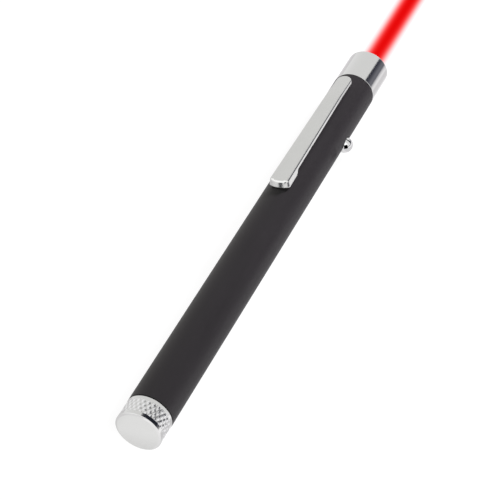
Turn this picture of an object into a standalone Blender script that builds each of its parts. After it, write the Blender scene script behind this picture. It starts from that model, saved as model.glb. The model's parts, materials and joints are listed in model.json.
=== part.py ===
"""A pen-shaped laser pointer with a knurled screw cap, a side button and a sprung pocket clip.

The pen lies along +Y with its clip on top, at +Z. The origin is the middle of the cap's flat end face.
Every place along the pen is worked out from the tail forwards.
Every place across it is worked out from the cells outwards.
"""

import math

import bmesh
import bpy
from mathutils import Matrix, Vector

MM = 0.001

# Clearances and finish of the whole pen
FIT_GAP = 0.15 * MM
SEAT_GAP = 0.25 * MM
CUT_OVERRUN = 1.0 * MM
ROUND_STEPS = 48
INNER_STEPS = 24
SMALL_STEPS = 16
PIN_STEPS = 8
QUARTER_TURN = [math.radians(a) for a in (0, 30, 60, 90)]
SHARP_ANGLE = math.radians(35)

# Dry cells
CELL_RADIUS = 5.25 * MM
CELL_LENGTH = 44.5 * MM
CELL_CLEARANCE = 0.25 * MM
CELL_EDGE = 0.4 * MM
CELL_RIM = 0.9 * MM
CELL_CUP_DEPTH = 1.1 * MM
CELL_STUD_RADIUS = 1.9 * MM
CELL_STUD_HEIGHT = 0.9 * MM
CELL_PLATE_THICKNESS = 0.35 * MM
CELL_WASHER_THICKNESS = 0.35 * MM

# Barrel
BARREL_WALL = 1.0 * MM
BARREL_EDGE = 0.2 * MM

# Tail cap
KNOB_LENGTH = 6.6 * MM
KNOB_EDGE = 0.55 * MM
KNOB_EDGE_LENGTH = 0.3 * MM
KNOB_FLOOR = 2.6 * MM
KNOB_COLLAR = 0.45 * MM
KNOB_STEP = 0.02 * MM
KNURL_START = 1.35 * MM
KNURL_DEPTH = 0.35 * MM
KNURL_COUNT = 28
KNURL_ROWS = 4
BOSS_LENGTH = 6.0 * MM
BOSS_WALL = 0.9 * MM
BOSS_EDGE = 0.25 * MM

# Screw thread of the tail cap
THREAD_PITCH = 1.0 * MM
THREAD_HEIGHT = 0.4 * MM
THREAD_CREST = 0.25 * MM
THREAD_SLOPE_SHARE = math.tan(math.radians(30))
THREAD_CLEARANCE = 0.12 * MM
THREAD_RELIEF = 0.8 * MM
THREAD_ROOT_BITE = 0.2 * MM
THREAD_STEPS = 24

# Springs
TAIL_WIRE = 0.6 * MM
TAIL_SPRING_LENGTH = 10.2 * MM
TAIL_SPRING_TURNS = 6
TAIL_SPRING_WIDE = 3.7 * MM
TAIL_SPRING_NARROW = 2.4 * MM
WASHER_THICKNESS = 0.4 * MM
WASHER_HOLE_RADIUS = 1.2 * MM
CONTACT_WIRE = 0.4 * MM
CONTACT_SPRING_LENGTH = 3.4 * MM
CONTACT_SPRING_TURNS = 3
CONTACT_SPRING_WIDE = 2.6 * MM
CONTACT_SPRING_NARROW = 1.3 * MM
LENS_WIRE = 0.35 * MM
LENS_SPRING_LENGTH = 8.2 * MM
LENS_SPRING_TURNS = 7
COIL_POINTS = 10

# Front contact
PLUG_THICKNESS = 3.0 * MM
PLUG_SOCKET = 1.2 * MM
RIVET_RADIUS = 0.9 * MM
RIVET_HEAD_RADIUS = 1.9 * MM
RIVET_HEAD = 0.3 * MM
RIVET_TAIL = 0.4 * MM

# Circuit board and its components
BUTTON_ANGLE = math.radians(120)
BOARD_LENGTH = 27.6 * MM
BOARD_THICKNESS = 1.0 * MM
BOARD_EDGE_ROOM = 0.35 * MM
BOARD_SOLDER_GAP = 0.1 * MM
BOARD_GRIP = 1.5 * MM
PART_SEAT = 0.1 * MM
SWITCH_PLACE_SHARE = 0.678
SWITCH_WIDTH = 6.0 * MM
SWITCH_COVER = 0.3 * MM
SWITCH_LEG_WIDTH = 0.7 * MM
SWITCH_LEG_REACH = 0.8 * MM
SWITCH_LEG_THICKNESS = 0.3 * MM
PLUNGER_RADIUS = 1.75 * MM
PLUNGER_HEIGHT = 1.3 * MM
PLUNGER_ROOT = 0.4 * MM
CHIP_SIZE = (1.4 * MM, 2.9 * MM, 1.1 * MM)
RESISTOR_SIZE = (2.0 * MM, 1.25 * MM, 0.5 * MM)
CAPACITOR_SIZE = (2.5 * MM, 3.2 * MM, 1.6 * MM)
CHIP_PLACE_SHARE = 0.40
RESISTOR_PLACE_SHARES = (0.25, 0.33)
CAPACITOR_PLACE_SHARE = 0.15
PART_BEVEL = 0.1 * MM

# Push button
BUTTON_BALL_RADIUS = 2.5 * MM
BUTTON_BALL_SINK = 0.2 * MM
BUTTON_HOLE_GAP = 0.2 * MM
BUTTON_FLANGE = 0.6 * MM
BUTTON_FLANGE_THICKNESS = 0.5 * MM
BUTTON_TRAVEL = 0.5 * MM
BUTTON_BALL_RINGS = 6

# Laser module
HOUSING_COLLAR = 5.0 * MM
HOUSING_WALL = 0.75 * MM
HOUSING_CAVITY_DEPTH = 2.8 * MM
HOUSING_CAVITY_WALL = 1.1 * MM
DIODE_STEM_RADIUS = 2.8 * MM
DIODE_STEM_THICKNESS = 1.2 * MM
DIODE_CAN_RADIUS = 1.8 * MM
DIODE_CAN_HEIGHT = 2.3 * MM
DIODE_CAN_WALL = 0.3 * MM
DIODE_WINDOW_RADIUS = 0.7 * MM
DIODE_WINDOW_THICKNESS = 0.3 * MM
DIODE_SHELF = 1.0 * MM
PIN_CIRCLE = 1.0 * MM
PIN_RADIUS = 0.22 * MM
PIN_LENGTH = 2.2 * MM
PIN_BITE = 0.3 * MM
LENS_THICKNESS = 2.2 * MM
LENS_EDGE = 1.2 * MM
LENS_RINGS = 5
NUT_THICKNESS = 2.4 * MM
NUT_HOLE = 1.9 * MM
NUT_SLOT_WIDTH = 0.8 * MM
NUT_SLOT_DEPTH = 0.8 * MM

# Nose cap
NOSE_LENGTH = 12.6 * MM
NOSE_STEP = 0.02 * MM
NOSE_EDGE = 0.45 * MM
NOSE_GAP = 0.2 * MM
SPIGOT_LENGTH = 4.1 * MM
NOSE_MOUTH = 3.7 * MM
NOSE_HOLE = 2.9 * MM
NOSE_MOUTH_DEPTH = 1.6 * MM
BEZEL_FLANGE = 0.8 * MM
BEZEL_HOLE = 1.5 * MM
BEZEL_MOUTH = 2.3 * MM
BEZEL_WALL = 0.5 * MM

# Pocket clip
CLIP_LENGTH = 53.2 * MM
CLIP_SHEET = 0.5 * MM
CLIP_GAP = 1.8 * MM
CLIP_TAIL_WIDTH = 5.8 * MM
CLIP_HEAD_WIDTH = 4.6 * MM
CLIP_TAIL_CORNER = 1.1 * MM
CLIP_ROUND = 0.55 * MM
CLIP_FLANGE = 1.2 * MM
CLIP_TOE_LENGTH = 7.2 * MM
CLIP_TOE_RAMP = 1.2 * MM
CLIP_TOE_GAP = 0.35 * MM
CLIP_SIDE_STATIONS = 14
CLIP_ARC_STEPS = 12
CLIP_CORNER_STEPS = 4
TAB_WIDTH = 3.0 * MM
TAB_THICKNESS = 0.6 * MM
TAB_SLOT_GAP = 0.4 * MM
TAB_SETBACK = 3.3 * MM
TAB_TO_SPIGOT = 3.1 * MM
HOOK_REACH = 2.0 * MM
HOOK_THICKNESS = 0.55 * MM
HOOK_GAP = 0.3 * MM

# Places across the pen, from the axis outwards
bore_radius = CELL_RADIUS + CELL_CLEARANCE
barrel_radius = bore_radius + BARREL_WALL
knob_radius = barrel_radius - KNOB_STEP
nose_radius = barrel_radius - NOSE_STEP
boss_core_radius = bore_radius - FIT_GAP
boss_bore_radius = boss_core_radius - BOSS_WALL
insert_radius = bore_radius - FIT_GAP

# Places along the pen, from the tail forwards
barrel_start = KNOB_LENGTH + SEAT_GAP
thread_start = KNOB_LENGTH + THREAD_RELIEF
boss_end = KNOB_LENGTH + BOSS_LENGTH
washer_start = KNOB_FLOOR + FIT_GAP
tail_spring_start = washer_start + WASHER_THICKNESS + FIT_GAP
rear_cell_start = max(
    tail_spring_start + TAIL_SPRING_LENGTH + FIT_GAP, boss_end + SEAT_GAP
)
front_cell_start = rear_cell_start + CELL_LENGTH + SEAT_GAP
contact_spring_start = front_cell_start + CELL_LENGTH + FIT_GAP
rivet_start = contact_spring_start + CONTACT_SPRING_LENGTH + FIT_GAP
plug_start = rivet_start + RIVET_HEAD + FIT_GAP
board_start = plug_start + PLUG_THICKNESS - PLUG_SOCKET + FIT_GAP
board_end = board_start + BOARD_LENGTH
button_place = board_start + SWITCH_PLACE_SHARE * BOARD_LENGTH
housing_start = board_end - BOARD_GRIP
stem_start = housing_start + HOUSING_CAVITY_DEPTH + FIT_GAP
stem_end = stem_start + DIODE_STEM_THICKNESS
shelf_start = stem_end + FIT_GAP
lens_spring_start = shelf_start + DIODE_SHELF + FIT_GAP
lens_start = lens_spring_start + LENS_SPRING_LENGTH + FIT_GAP
nut_start = lens_start + LENS_THICKNESS + FIT_GAP
housing_end = nut_start + NUT_THICKNESS + FIT_GAP
collar_end = housing_start + HOUSING_COLLAR
tab_place = collar_end + SEAT_GAP + HOOK_REACH
spigot_start = tab_place + TAB_TO_SPIGOT
barrel_end = spigot_start + SPIGOT_LENGTH
nose_start = barrel_end + NOSE_GAP
nose_end = nose_start + NOSE_LENGTH

# Sizes inside the laser module
neck_radius = bore_radius - HOOK_GAP - HOOK_THICKNESS - 2 * FIT_GAP - (
    bore_radius - math.sqrt(bore_radius**2 - (TAB_WIDTH / 2) ** 2)
)
module_bore_radius = neck_radius - HOUSING_WALL
nut_radius = module_bore_radius - FIT_GAP
lens_spring_radius = nut_radius - LENS_WIRE / 2

# Places across the board, in a frame whose +Z points out through the button
stem_radius = BUTTON_BALL_RADIUS
button_hole_radius = stem_radius + BUTTON_HOLE_GAP
button_flange_radius = stem_radius + BUTTON_FLANGE
flange_top = math.sqrt(bore_radius**2 - button_flange_radius**2) - FIT_GAP
flange_bottom = flange_top - BUTTON_FLANGE_THICKNESS
plunger_top = flange_bottom - FIT_GAP
switch_top = plunger_top - PLUNGER_HEIGHT
board_top = -(PIN_CIRCLE + PIN_RADIUS + BOARD_SOLDER_GAP)
board_bottom = board_top - BOARD_THICKNESS
board_half_width = math.sqrt(insert_radius**2 - board_bottom**2) - BOARD_EDGE_ROOM

# Heights of the clip above the pen's axis
clip_top = barrel_radius + CLIP_GAP + CLIP_SHEET
hook_top = math.sqrt(bore_radius**2 - (TAB_WIDTH / 2) ** 2) - HOOK_GAP
hook_bottom = hook_top - HOOK_THICKNESS
clip_pivot_height = bore_radius + BARREL_WALL / 2

FINISHES = {
    "black_lacquer": ((0.022, 0.021, 0.024), 0.42, 0.0),
    "chrome": ((0.80, 0.80, 0.82), 0.10, 1.0),
    "brass": ((0.72, 0.53, 0.24), 0.28, 1.0),
    "spring_steel": ((0.62, 0.62, 0.63), 0.25, 1.0),
    "black_plastic": ((0.03, 0.03, 0.03), 0.50, 0.0),
    "nylon": ((0.75, 0.74, 0.68), 0.45, 0.0),
    "board_green": ((0.03, 0.20, 0.08), 0.40, 0.0),
    "ceramic": ((0.55, 0.48, 0.38), 0.50, 0.0),
    "tin": ((0.70, 0.70, 0.70), 0.30, 1.0),
    "optical_glass": ((0.85, 0.90, 0.92), 0.03, 0.0),
    "cell_jacket": ((0.10, 0.16, 0.30), 0.35, 0.0),
}


def finish(name):
    """The material of that name, made once."""
    found = bpy.data.materials.get(name)
    if found:
        return found
    colour, roughness, metallic = FINISHES[name]
    made = bpy.data.materials.new(name)
    made.use_nodes = True
    shader = made.node_tree.nodes["Principled BSDF"]
    shader.inputs["Base Color"].default_value = (*colour, 1.0)
    shader.inputs["Roughness"].default_value = roughness
    shader.inputs["Metallic"].default_value = metallic
    return made


def frame_empty(name, place, turn_about_y=0.0, parent=None):
    """An empty that carries a group of pieces, turned about the pen's axis."""
    empty = bpy.data.objects.new(name, None)
    bpy.context.scene.collection.objects.link(empty)
    empty.location = place
    empty.rotation_euler = (0.0, turn_about_y, 0.0)
    empty.parent = parent
    return empty


def add_object(name, data, material, parent=None, place=(0.0, 0.0, 0.0)):
    """A new object in the scene, with its finish and its parent."""
    made = bpy.data.objects.new(name, data)
    bpy.context.scene.collection.objects.link(made)
    if material:
        data.materials.append(finish(material))
    made.location = place
    made.parent = parent
    return made


def mesh_from(bm, name):
    """A mesh with outward faces and its round sides smooth."""
    bmesh.ops.recalc_face_normals(bm, faces=bm.faces)
    if bm.calc_volume(signed=True) < 0:
        bmesh.ops.reverse_faces(bm, faces=bm.faces)
    mesh = bpy.data.meshes.new(name)
    bm.to_mesh(mesh)
    bm.free()
    mesh.shade_smooth()
    mesh.set_sharp_from_angle(angle=SHARP_ANGLE)
    return mesh


def turned(name, profile, material, steps=INNER_STEPS, parent=None, axis="Y", place=(0.0, 0.0, 0.0)):
    """A solid of revolution: profile is a closed outline of (radius, distance along the axis).

    It starts half a step round, so that a flat facet and not an edge lies at the bottom.
    """
    bm = bmesh.new()
    along = Vector((0, 1, 0)) if axis == "Y" else Vector((0, 0, 1))
    half_step = Matrix.Rotation(math.pi / steps, 3, along)
    points = [bm.verts.new(half_step @ Vector((r, 0, 0)) + along * a) for r, a in profile]
    edges = []
    for i, vert in enumerate(points):
        j = (i + 1) % len(points)
        if profile[i][0] > 0 or profile[j][0] > 0:
            edges.append(bm.edges.new((vert, points[j])))
    bmesh.ops.spin(
        bm,
        geom=points + edges,
        cent=(0, 0, 0),
        axis=along,
        angle=2 * math.pi,
        steps=steps,
        use_merge=True,
    )
    bmesh.ops.remove_doubles(bm, verts=bm.verts, dist=FIT_GAP / 1000)
    return add_object(name, mesh_from(bm, name), material, parent, place)


def block(name, size, centre, material, parent=None, bevel=0.0):
    """A box with softened edges."""
    bm = bmesh.new()
    bmesh.ops.create_cube(bm, size=1.0)
    bmesh.ops.scale(bm, vec=size, verts=bm.verts)
    if bevel:
        bmesh.ops.bevel(
            bm,
            geom=bm.edges[:],
            offset=bevel,
            segments=1,
            affect="EDGES",
            profile=0.5,
        )
    return add_object(name, mesh_from(bm, name), material, parent, centre)


def make_tool(tool):
    """Marks an object as a cutter or a joined shape, which is no node of its own."""
    tool.hide_render = True
    tool.display_type = "WIRE"
    return tool


def combine(target, tool, operation):
    """A Boolean on target with a hidden tool."""
    make_tool(tool)
    modifier = target.modifiers.new(tool.name, "BOOLEAN")
    modifier.operation = operation
    modifier.object = tool
    modifier.solver = "EXACT"
    return target


def coil_points(start, length, turns, first_radius, last_radius):
    """Points of a coil about +Y that widens or narrows evenly."""
    count = turns * COIL_POINTS + 1
    shares = [i / (count - 1) for i in range(count)]
    radii = [first_radius + (last_radius - first_radius) * s for s in shares]
    return [
        Vector(
            (
                r * math.sin(2 * math.pi * turns * s),
                start + length * s,
                r * math.cos(2 * math.pi * turns * s),
            )
        )
        for r, s in zip(radii, shares)
    ]


def least_gap(points, wire):
    """The least clear distance between a coil's turns, measured on its points."""
    distances = [
        (points[i] - points[j]).length
        for i in range(len(points))
        for j in range(i + COIL_POINTS // 2, len(points))
    ]
    return min(distances) - wire


def coil(name, points, wire, material):
    """A spring as one unbroken round wire along the points."""
    curve = bpy.data.curves.new(name, "CURVE")
    curve.dimensions = "3D"
    curve.bevel_depth = wire / 2
    curve.bevel_resolution = 1
    curve.use_fill_caps = True
    spline = curve.splines.new("POLY")
    spline.points.add(len(points) - 1)
    for spline_point, point in zip(spline.points, points):
        spline_point.co = (*point, 1.0)
    print(f"{name}: least gap between turns {least_gap(points, wire) / MM:.2f} mm")
    return add_object(name, curve, material)


def screw_ridge(name, inner_radius, crest_radius, crest_width, first_turn, last_turn):
    """A right-hand screw ridge about +Y, whose flanks slope at the thread's angle.

    A turn of zero lies at the thread's start, so the nut's groove and the screw's ridge share one phase.
    """
    steps = round((last_turn - first_turn) * THREAD_STEPS)
    inner_width = crest_width + 2 * (crest_radius - inner_radius) * THREAD_SLOPE_SHARE
    section = (
        (inner_radius, -inner_width / 2),
        (crest_radius, -crest_width / 2),
        (crest_radius, crest_width / 2),
        (inner_radius, inner_width / 2),
    )
    bm = bmesh.new()
    rings = []
    for i in range(steps + 1):
        turn = first_turn + (last_turn - first_turn) * i / steps
        angle = 2 * math.pi * turn
        along = thread_start + THREAD_PITCH * turn
        rings.append(
            [
                bm.verts.new((r * math.sin(angle), along + a, r * math.cos(angle)))
                for r, a in section
            ]
        )
    for ring, following in zip(rings, rings[1:]):
        for k in range(len(section)):
            m = (k + 1) % len(section)
            bm.faces.new((ring[k], ring[m], following[m], following[k]))
    bm.faces.new(rings[0])
    bm.faces.new(rings[-1])
    return add_object(name, mesh_from(bm, name), None)


def barrel():
    """The black tube, threaded at its mouth, with a hole for the button and a slot for the clip's tab."""
    r, e = barrel_radius, BARREL_EDGE
    tube = turned(
        "barrel",
        [
            (bore_radius, barrel_start),
            (r - e, barrel_start),
            (r, barrel_start + e),
            (r, barrel_end - e),
            (r - e, barrel_end),
            (bore_radius, barrel_end),
        ],
        "black_lacquer",
        ROUND_STEPS,
    )
    groove_radius = boss_core_radius + THREAD_HEIGHT + THREAD_CLEARANCE
    flank_gap = THREAD_CLEARANCE * math.sqrt(1 + THREAD_SLOPE_SHARE**2)
    groove_crest = (
        THREAD_CREST + 2 * flank_gap - 2 * THREAD_CLEARANCE * THREAD_SLOPE_SHARE
    )
    turns_before = (THREAD_RELIEF + CUT_OVERRUN) / THREAD_PITCH
    turns_after = (BOSS_LENGTH - THREAD_RELIEF + SEAT_GAP) / THREAD_PITCH
    groove = screw_ridge(
        "thread_groove",
        boss_core_radius - THREAD_ROOT_BITE,
        groove_radius,
        groove_crest,
        -turns_before,
        turns_after,
    )
    combine(tube, groove, "DIFFERENCE")
    drill = turned(
        "button_drill",
        [
            (0.0, 0.0),
            (button_hole_radius, 0.0),
            (button_hole_radius, barrel_radius + CUT_OVERRUN),
            (0.0, barrel_radius + CUT_OVERRUN),
        ],
        None,
        axis="Z",
        parent=button_frame,
    )
    combine(tube, drill, "DIFFERENCE")
    slot_depth = BARREL_WALL + 2 * CUT_OVERRUN
    slot = block(
        "clip_slot",
        (TAB_WIDTH + 2 * TAB_SLOT_GAP, TAB_THICKNESS + 2 * TAB_SLOT_GAP, slot_depth),
        (0.0, tab_place + TAB_THICKNESS / 2, clip_pivot_height),
        None,
    )
    combine(tube, slot, "DIFFERENCE")


def knurled_sleeve(name, outer_radius, inner_radius, start, length):
    """A ring whose outside is cut by two crossed sets of grooves into rows of small pyramids."""
    columns = 2 * KNURL_COUNT
    rows = KNURL_ROWS
    low = outer_radius - KNURL_DEPTH
    bm = bmesh.new()

    def ring(radius_of, along):
        return [
            bm.verts.new(
                (
                    radius_of(k) * math.sin(2 * math.pi * k / columns),
                    along,
                    radius_of(k) * math.cos(2 * math.pi * k / columns),
                )
            )
            for k in range(columns)
        ]

    rings = [ring(lambda k: inner_radius, start), ring(lambda k: low, start)]
    for j in range(rows + 1):
        inset = KNURL_DEPTH / 2
        along = start + inset + (length - 2 * inset) * j / rows
        rings.append(
            ring(lambda k, j=j: outer_radius if (k + j) % 2 else low, along)
        )
    rings += [ring(lambda k: low, start + length), ring(lambda k: inner_radius, start + length)]
    for j, (ring_a, ring_b) in enumerate(zip(rings, rings[1:])):
        for k in range(columns):
            m = (k + 1) % columns
            corners = (ring_a[k], ring_a[m], ring_b[m], ring_b[k])
            if (k + j) % 2:
                bm.faces.new((corners[0], corners[1], corners[3]))
                bm.faces.new((corners[1], corners[2], corners[3]))
            else:
                bm.faces.new((corners[0], corners[1], corners[2]))
                bm.faces.new((corners[0], corners[2], corners[3]))
    for k in range(columns):
        m = (k + 1) % columns
        bm.faces.new((rings[-1][k], rings[-1][m], rings[0][m], rings[0][k]))
    return add_object(name, mesh_from(bm, name), None)


def tail_cap():
    """The knurled screw cap: a cup with a flat end, whose threaded boss screws into the barrel."""
    r, e, h = knob_radius, KNOB_EDGE, KNOB_EDGE_LENGTH
    knurl_end = KNOB_LENGTH - KNOB_COLLAR
    core = r - KNURL_DEPTH - SEAT_GAP
    rounded = [(r - e + e * math.sin(a), h - h * math.cos(a)) for a in QUARTER_TURN]
    cap = turned(
        "tail_cap",
        [
            (0.0, 0.0),
            *rounded,
            (r, KNURL_START),
            (core, KNURL_START),
            (core, knurl_end),
            (r, knurl_end),
            (r, KNOB_LENGTH),
            (boss_core_radius, KNOB_LENGTH),
            (boss_core_radius, boss_end - BOSS_EDGE),
            (boss_core_radius - BOSS_EDGE, boss_end),
            (boss_bore_radius, boss_end),
            (boss_bore_radius, KNOB_FLOOR),
            (0.0, KNOB_FLOOR),
        ],
        "chrome",
        ROUND_STEPS,
    )
    knurl = knurled_sleeve(
        "knurl",
        r,
        core - SEAT_GAP,
        KNURL_START - BARREL_EDGE / 2,
        knurl_end - KNURL_START + BARREL_EDGE,
    )
    combine(cap, knurl, "UNION")
    ridge = screw_ridge(
        "thread_ridge",
        boss_core_radius - THREAD_ROOT_BITE,
        boss_core_radius + THREAD_HEIGHT,
        THREAD_CREST,
        0.0,
        (BOSS_LENGTH - THREAD_RELIEF - BOSS_EDGE - THREAD_HEIGHT) / THREAD_PITCH,
    )
    combine(cap, ridge, "UNION")
    turned(
        "spring_washer",
        [
            (WASHER_HOLE_RADIUS, washer_start),
            (boss_bore_radius - FIT_GAP, washer_start),
            (boss_bore_radius - FIT_GAP, washer_start + WASHER_THICKNESS),
            (WASHER_HOLE_RADIUS, washer_start + WASHER_THICKNESS),
        ],
        "brass",
    )
    half_wire = TAIL_WIRE / 2
    coil(
        "tail_spring",
        coil_points(
            tail_spring_start + half_wire,
            TAIL_SPRING_LENGTH - TAIL_WIRE,
            TAIL_SPRING_TURNS,
            TAIL_SPRING_WIDE,
            TAIL_SPRING_NARROW,
        ),
        TAIL_WIRE,
        "spring_steel",
    )


def dry_cell(prefix, start):
    """One cell: its can with a cup at the front, the contact plate with its stud, and a sealing washer."""
    body_end = start + CELL_LENGTH - CELL_STUD_HEIGHT
    cup_radius = CELL_RADIUS - CELL_RIM
    cup_floor = body_end - CELL_CUP_DEPTH
    e = CELL_EDGE
    turned(
        f"{prefix}_can",
        [
            (0.0, start),
            (CELL_RADIUS - e, start),
            (CELL_RADIUS, start + e),
            (CELL_RADIUS, body_end - e),
            (CELL_RADIUS - e, body_end),
            (cup_radius, body_end),
            (cup_radius, cup_floor),
            (0.0, cup_floor),
        ],
        "cell_jacket",
    )
    plate_radius = cup_radius - FIT_GAP
    plate_start = cup_floor + PART_SEAT
    plate_end = plate_start + CELL_PLATE_THICKNESS
    turned(
        f"{prefix}_stud",
        [
            (0.0, plate_start),
            (plate_radius, plate_start),
            (plate_radius, plate_end),
            (CELL_STUD_RADIUS, plate_end),
            (CELL_STUD_RADIUS, start + CELL_LENGTH),
            (0.0, start + CELL_LENGTH),
        ],
        "tin",
        SMALL_STEPS,
    )
    washer_bore = CELL_STUD_RADIUS + PART_SEAT
    turned(
        f"{prefix}_seal",
        [
            (washer_bore, plate_end + PART_SEAT),
            (plate_radius, plate_end + PART_SEAT),
            (plate_radius, plate_end + PART_SEAT + CELL_WASHER_THICKNESS),
            (washer_bore, plate_end + PART_SEAT + CELL_WASHER_THICKNESS),
        ],
        "nylon",
        SMALL_STEPS,
    )


def front_contact():
    """The insulating plug behind the board, the rivet through it, and the contact spring."""
    half_wire = CONTACT_WIRE / 2
    coil(
        "contact_spring",
        coil_points(
            contact_spring_start + half_wire,
            CONTACT_SPRING_LENGTH - CONTACT_WIRE,
            CONTACT_SPRING_TURNS,
            CONTACT_SPRING_NARROW,
            CONTACT_SPRING_WIDE,
        ),
        CONTACT_WIRE,
        "spring_steel",
    )
    plug_end = plug_start + PLUG_THICKNESS
    bore = RIVET_RADIUS + FIT_GAP
    plug = turned(
        "contact_plug",
        [
            (bore, plug_start),
            (insert_radius, plug_start),
            (insert_radius, plug_end),
            (bore, plug_end),
        ],
        "black_plastic",
    )
    socket = block(
        "plug_socket",
        (
            2 * (board_half_width + FIT_GAP),
            PLUG_SOCKET + CUT_OVERRUN,
            BOARD_THICKNESS + 2 * FIT_GAP,
        ),
        (
            0.0,
            plug_end - PLUG_SOCKET + (PLUG_SOCKET + CUT_OVERRUN) / 2,
            (board_top + board_bottom) / 2,
        ),
        None,
        parent=button_axis,
    )
    combine(plug, socket, "DIFFERENCE")
    rivet_end = plug_end - PLUG_SOCKET - RIVET_TAIL
    turned(
        "contact_rivet",
        [
            (0.0, rivet_start),
            (RIVET_HEAD_RADIUS, rivet_start),
            (RIVET_HEAD_RADIUS, rivet_start + RIVET_HEAD),
            (RIVET_RADIUS, rivet_start + RIVET_HEAD),
            (RIVET_RADIUS, rivet_end),
            (0.0, rivet_end),
        ],
        "brass",
        SMALL_STEPS,
    )


def on_board(name, size, place_share, side_share, material):
    """A component that lies on the board, at a share of the board's length and of its free half width."""
    side = side_share * (board_half_width - size[0] / 2)
    return block(
        name,
        size,
        (
            side,
            board_start + place_share * BOARD_LENGTH,
            board_top + PART_SEAT + size[2] / 2,
        ),
        material,
        parent=button_axis,
        bevel=PART_BEVEL,
    )


def circuit_board():
    """The board with its driver chip, resistors, capacitor and press switch."""
    block(
        "circuit_board",
        (2 * board_half_width, BOARD_LENGTH, BOARD_THICKNESS),
        (0.0, (board_start + board_end) / 2, (board_top + board_bottom) / 2),
        "board_green",
        parent=button_axis,
    )
    on_board("driver_chip", CHIP_SIZE, CHIP_PLACE_SHARE, -0.5, "black_plastic")
    for number, share in enumerate(RESISTOR_PLACE_SHARES, start=1):
        on_board(f"resistor_{number}", RESISTOR_SIZE, share, 0.7, "ceramic")
    on_board("capacitor", CAPACITOR_SIZE, CAPACITOR_PLACE_SHARE, -0.6, "ceramic")
    base_bottom = board_top + PART_SEAT
    cover_bottom = switch_top - SWITCH_COVER
    base_height = cover_bottom - PART_SEAT - base_bottom
    base = block(
        "switch_base",
        (SWITCH_WIDTH, SWITCH_WIDTH, base_height),
        (0.0, 0.0, base_bottom + base_height / 2),
        "black_plastic",
        parent=button_frame,
        bevel=PART_BEVEL,
    )
    well_bottom = cover_bottom - PLUNGER_ROOT - BUTTON_TRAVEL - 2 * PART_SEAT
    well = turned(
        "plunger_well",
        [
            (0.0, well_bottom),
            (PLUNGER_RADIUS + FIT_GAP, well_bottom),
            (PLUNGER_RADIUS + FIT_GAP, switch_top + CUT_OVERRUN),
            (0.0, switch_top + CUT_OVERRUN),
        ],
        None,
        SMALL_STEPS,
        parent=button_frame,
        axis="Z",
    )
    combine(base, well, "DIFFERENCE")
    cover = block(
        "switch_cover",
        (SWITCH_WIDTH, SWITCH_WIDTH, SWITCH_COVER),
        (0.0, 0.0, switch_top - SWITCH_COVER / 2),
        "tin",
        parent=button_frame,
    )
    combine(cover, well, "DIFFERENCE")
    turned(
        "switch_plunger",
        [
            (0.0, cover_bottom - PLUNGER_ROOT),
            (PLUNGER_RADIUS, cover_bottom - PLUNGER_ROOT),
            (PLUNGER_RADIUS, plunger_top - PART_BEVEL),
            (PLUNGER_RADIUS - PART_BEVEL, plunger_top),
            (0.0, plunger_top),
        ],
        "black_plastic",
        SMALL_STEPS,
        parent=button_frame,
        axis="Z",
    )
    leg_side = SWITCH_WIDTH / 2 - SWITCH_LEG_WIDTH
    leg_along = SWITCH_WIDTH / 2 + PART_SEAT + SWITCH_LEG_REACH / 2
    corners = [(x, y) for x in (-leg_side, leg_side) for y in (-leg_along, leg_along)]
    for number, (x, y) in enumerate(corners, start=1):
        block(
            f"switch_leg_{number}",
            (SWITCH_LEG_WIDTH, SWITCH_LEG_REACH, SWITCH_LEG_THICKNESS),
            (x, y, base_bottom + SWITCH_LEG_THICKNESS / 2),
            "tin",
            parent=button_frame,
        )


def push_button():
    """The chrome ball button: a round stem with a flange that keeps it in the barrel."""
    r = BUTTON_BALL_RADIUS
    ball_centre = barrel_radius - BUTTON_BALL_SINK
    quarter = math.pi / 2
    dome = [
        (
            r * math.cos(quarter * i / BUTTON_BALL_RINGS),
            ball_centre + r * math.sin(quarter * i / BUTTON_BALL_RINGS),
        )
        for i in range(BUTTON_BALL_RINGS)
    ]
    turned(
        "button",
        [
            (0.0, flange_bottom),
            (button_flange_radius, flange_bottom),
            (button_flange_radius, flange_top),
            (stem_radius, flange_top),
            *dome,
            (0.0, ball_centre + r),
        ],
        "chrome",
        parent=button_frame,
        axis="Z",
    )


def laser_housing():
    """The brass housing: a collar that centres it in the barrel, and a neck that reaches into the nose."""
    cavity = insert_radius - HOUSING_CAVITY_WALL
    stem_seat = DIODE_STEM_RADIUS + FIT_GAP
    shelf_hole = DIODE_CAN_RADIUS + FIT_GAP
    housing = turned(
        "laser_housing",
        [
            (cavity, housing_start),
            (insert_radius, housing_start),
            (insert_radius, collar_end),
            (neck_radius, collar_end),
            (neck_radius, housing_end),
            (module_bore_radius, housing_end),
            (module_bore_radius, shelf_start + DIODE_SHELF),
            (shelf_hole, shelf_start + DIODE_SHELF),
            (shelf_hole, shelf_start),
            (stem_seat, shelf_start),
            (stem_seat, housing_start + HOUSING_CAVITY_DEPTH),
            (cavity, housing_start + HOUSING_CAVITY_DEPTH),
        ],
        "brass",
    )
    slot_depth = BOARD_GRIP + 2 * FIT_GAP
    slot = block(
        "board_slot",
        (
            2 * (insert_radius + CUT_OVERRUN),
            slot_depth + CUT_OVERRUN,
            BOARD_THICKNESS + 2 * FIT_GAP,
        ),
        (
            0.0,
            housing_start + (slot_depth - CUT_OVERRUN) / 2,
            (board_top + board_bottom) / 2,
        ),
        None,
        parent=button_axis,
    )
    combine(housing, slot, "DIFFERENCE")


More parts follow.
